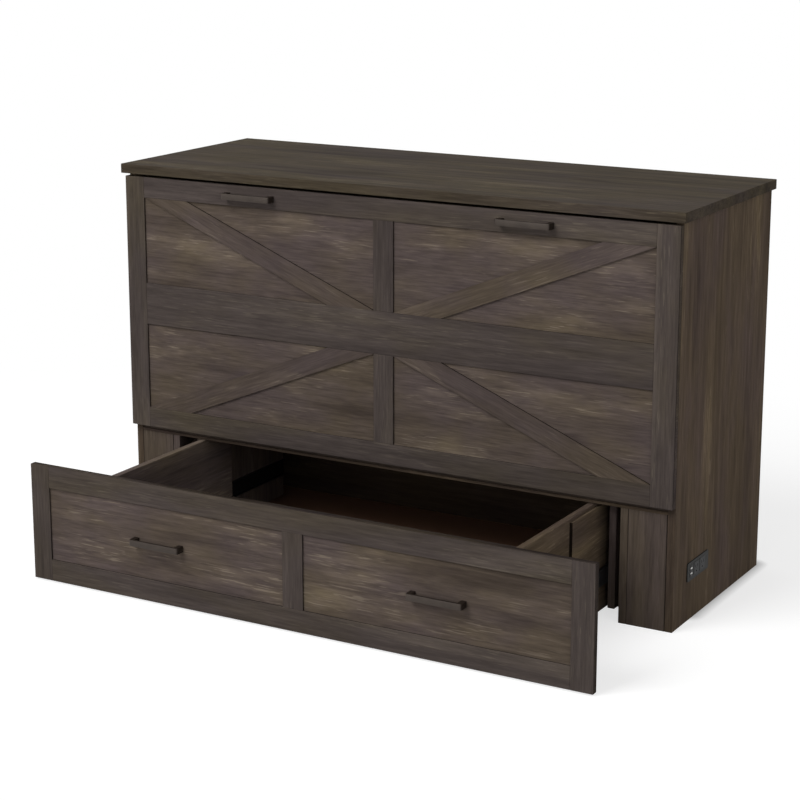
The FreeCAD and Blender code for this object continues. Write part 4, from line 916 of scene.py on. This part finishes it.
class WALLBED_OT_studio(bpy.types.Operator):
    """Make the floor, the light and the camera"""
    bl_idname = "wallbed.studio"
    bl_label = "Studio"

    def execute(self, context):
        studio = settings().studio
        self.floor(studio)
        self.world(studio)
        self.lamp("key_light", studio.key_place, studio.key_size, studio.key_power)
        self.lamp("fill_light", studio.fill_place, studio.fill_size, studio.fill_power)
        self.lamp("front_light", studio.front_place, studio.front_size, studio.front_power)
        self.camera(studio)
        context.scene.view_settings.view_transform = "Standard"
        return {"FINISHED"}

    def seen_rays(self, tree):
        """1 for rays that show the surroundings: camera, glossy and transmission rays."""
        path = tree.nodes.new("ShaderNodeLightPath")
        seen = math_node(tree, "MAXIMUM", path.outputs["Is Camera Ray"], path.outputs["Is Glossy Ray"])
        return math_node(tree, "MAXIMUM", seen, path.outputs["Is Transmission Ray"])

    def floor(self, studio):
        """A flat square under the bed."""
        mesh = bmesh.new()
        bmesh.ops.create_grid(mesh, x_segments=1, y_segments=1, size=studio.floor_size / 2)
        data = bpy.data.meshes.new("studio_floor")
        mesh.to_mesh(data)
        mesh.free()
        floor = bpy.data.objects.new("studio_floor", data)
        bpy.context.scene.collection.objects.link(floor)
        data.materials.append(self.floor_finish(studio))

    def floor_finish(self, studio):
        """Pale floor that keeps the shadow, darker inside the cabinet as painted shade, and plain white far from
        it.
        """
        material, tree, shader = new_material("studio_floor")
        shader.inputs["Roughness"].default_value = FLOOR_ROUGHNESS
        shader.inputs["Specular IOR Level"].default_value = 0.0
        shader.inputs["Emission Color"].default_value = (*WHITE, 1.0)
        seen = self.seen_rays(tree)
        away = self.distance_from_cabinet(tree, studio.under_bed_inset)
        # Painted shade on the floor inside the cabinet
        outside = ranged(tree, away, 0.0, studio.under_bed_edge)
        tone = mixed(tree, "MIX", outside, studio.painted_shade_under_bed, studio.floor_tone)
        tree.links.new(tone, shader.inputs["Base Color"])
        glow = ranged(tree, away, 0.0, studio.glow_edge, 0.0, studio.floor_glow)
        tree.links.new(math_node(tree, "MULTIPLY", seen, glow), shader.inputs["Emission Strength"])
        white = tree.nodes.new("ShaderNodeEmission")
        fade = tree.nodes.new("ShaderNodeMixShader")
        far = ranged(tree, away, studio.white_from, studio.white_at)
        tree.links.new(math_node(tree, "MULTIPLY", seen, far), fade.inputs["Fac"])
        tree.links.new(shader.outputs["BSDF"], fade.inputs[1])
        tree.links.new(white.outputs["Emission"], fade.inputs[2])
        tree.links.new(fade.outputs["Shader"], node_of(tree, "OUTPUT_MATERIAL").inputs["Surface"])
        return material

    def distance_from_cabinet(self, tree, inset):
        """Distance on the floor from the rectangle between the runner boards and the back."""
        low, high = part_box("back_panel")
        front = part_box("runner_boards")[0].y + inset
        coords = tree.nodes.new("ShaderNodeTexCoord")
        link = coords.outputs["Object"]
        middle = ((low.x + high.x) / 2, (front + high.y) / 2, 0.0)
        half = ((high.x - low.x) / 2, (high.y - front) / 2, 0.0)
        for operation, value in (("SUBTRACT", middle), ("ABSOLUTE", None), ("SUBTRACT", half),
                                 ("MAXIMUM", (0.0, 0.0, 0.0)), ("LENGTH", None)):
            node = tree.nodes.new("ShaderNodeVectorMath")
            node.operation = operation
            tree.links.new(link, node.inputs[0])
            if value:
                node.inputs[1].default_value = value
            link = node.outputs["Value" if operation == "LENGTH" else "Vector"]
        return link

    def world(self, studio):
        """White for rays that show it, and room light that falls off upwards for the rest."""
        world = bpy.data.worlds.new("studio_world")
        world.use_nodes = True
        tree = world.node_tree
        background = tree.nodes["Background"]
        background.inputs["Color"].default_value = (*WHITE, 1.0)
        room = ranged(tree, axes(tree, "Generated")["Z"], 0.0, 1.0, studio.ambient, studio.overhead)
        seen = self.seen_rays(tree)
        unseen = math_node(tree, "SUBTRACT", 1.0, seen)
        strength = math_node(tree, "ADD", seen, math_node(tree, "MULTIPLY", unseen, room))
        tree.links.new(strength, background.inputs["Strength"])
        bpy.context.scene.world = world

    def lamp(self, name, place, side, power):
        """A square light that looks at the middle of the bed."""
        light = bpy.data.lights.new(name, "AREA")
        light.shape = "SQUARE"
        light.size = side
        light.energy = power
        lamp = bpy.data.objects.new(name, light)
        lamp.location = place
        target = (Vector(CAD_BOX[0]) + Vector(CAD_BOX[1])) / 2
        lamp.rotation_euler = (target - Vector(place)).to_track_quat("-Z", "Y").to_euler()
        bpy.context.scene.collection.objects.link(lamp)

    def camera(self, studio):
        """The camera at the photograph's viewing angle."""
        data = bpy.data.cameras.new("photo_camera")
        data.sensor_width = SENSOR_WIDTH
        data.lens = studio.lens
        data.shift_y = studio.rise
        camera = bpy.data.objects.new("photo_camera", data)
        camera.location = studio.eye
        look = Vector((-math.sin(studio.azimuth) * math.cos(studio.elevation),
                       math.cos(studio.azimuth) * math.cos(studio.elevation),
                       -math.sin(studio.elevation)))
        camera.rotation_euler = look.to_track_quat("-Z", "Y").to_euler()
        bpy.context.scene.collection.objects.link(camera)
        bpy.context.scene.camera = camera


OPERATORS = (WALLBED_OT_cabinet, WALLBED_OT_lid, WALLBED_OT_front_panel, WALLBED_OT_drawer, WALLBED_OT_pulls,
             WALLBED_OT_slides, WALLBED_OT_hinges, WALLBED_OT_foot_section, WALLBED_OT_outlet, WALLBED_OT_studio)


class WALLBED_PT_panel(bpy.types.Panel):
    """Lists the wall bed's operators and settings"""
    bl_idname = "WALLBED_PT_panel"
    bl_label = "Wall bed"
    bl_space_type = "VIEW_3D"
    bl_region_type = "UI"
    bl_category = "Wall bed"

    def draw(self, context):
        for operator in OPERATORS:
            self.layout.operator(operator.bl_idname)
        for key in WallBedSettings.__annotations__:
            group = getattr(context.scene.wall_bed, key)
            box = self.layout.box()
            box.label(text=type(group).__doc__)
            for name in type(group).__annotations__:
                box.prop(group, name)


CLASSES = (WalnutFinish, HardwareFinish, PullShape, ScrewSizes, TongueShape, StudioSetup, WallBedSettings,
           *OPERATORS, WALLBED_PT_panel)


def register():
    for cls in CLASSES:
        bpy.utils.register_class(cls)
    bpy.types.Scene.wall_bed = PointerProperty(name="Wall bed", description="Settings of the wall bed",
                                               type=WallBedSettings)


def unregister():
    del bpy.types.Scene.wall_bed
    for cls in reversed(CLASSES):
        bpy.utils.unregister_class(cls)


def main():
    register()
    for operator in OPERATORS:
        getattr(bpy.ops.wallbed, operator.bl_idname.removeprefix("wallbed."))()


if __name__ == "__main__":
    main()
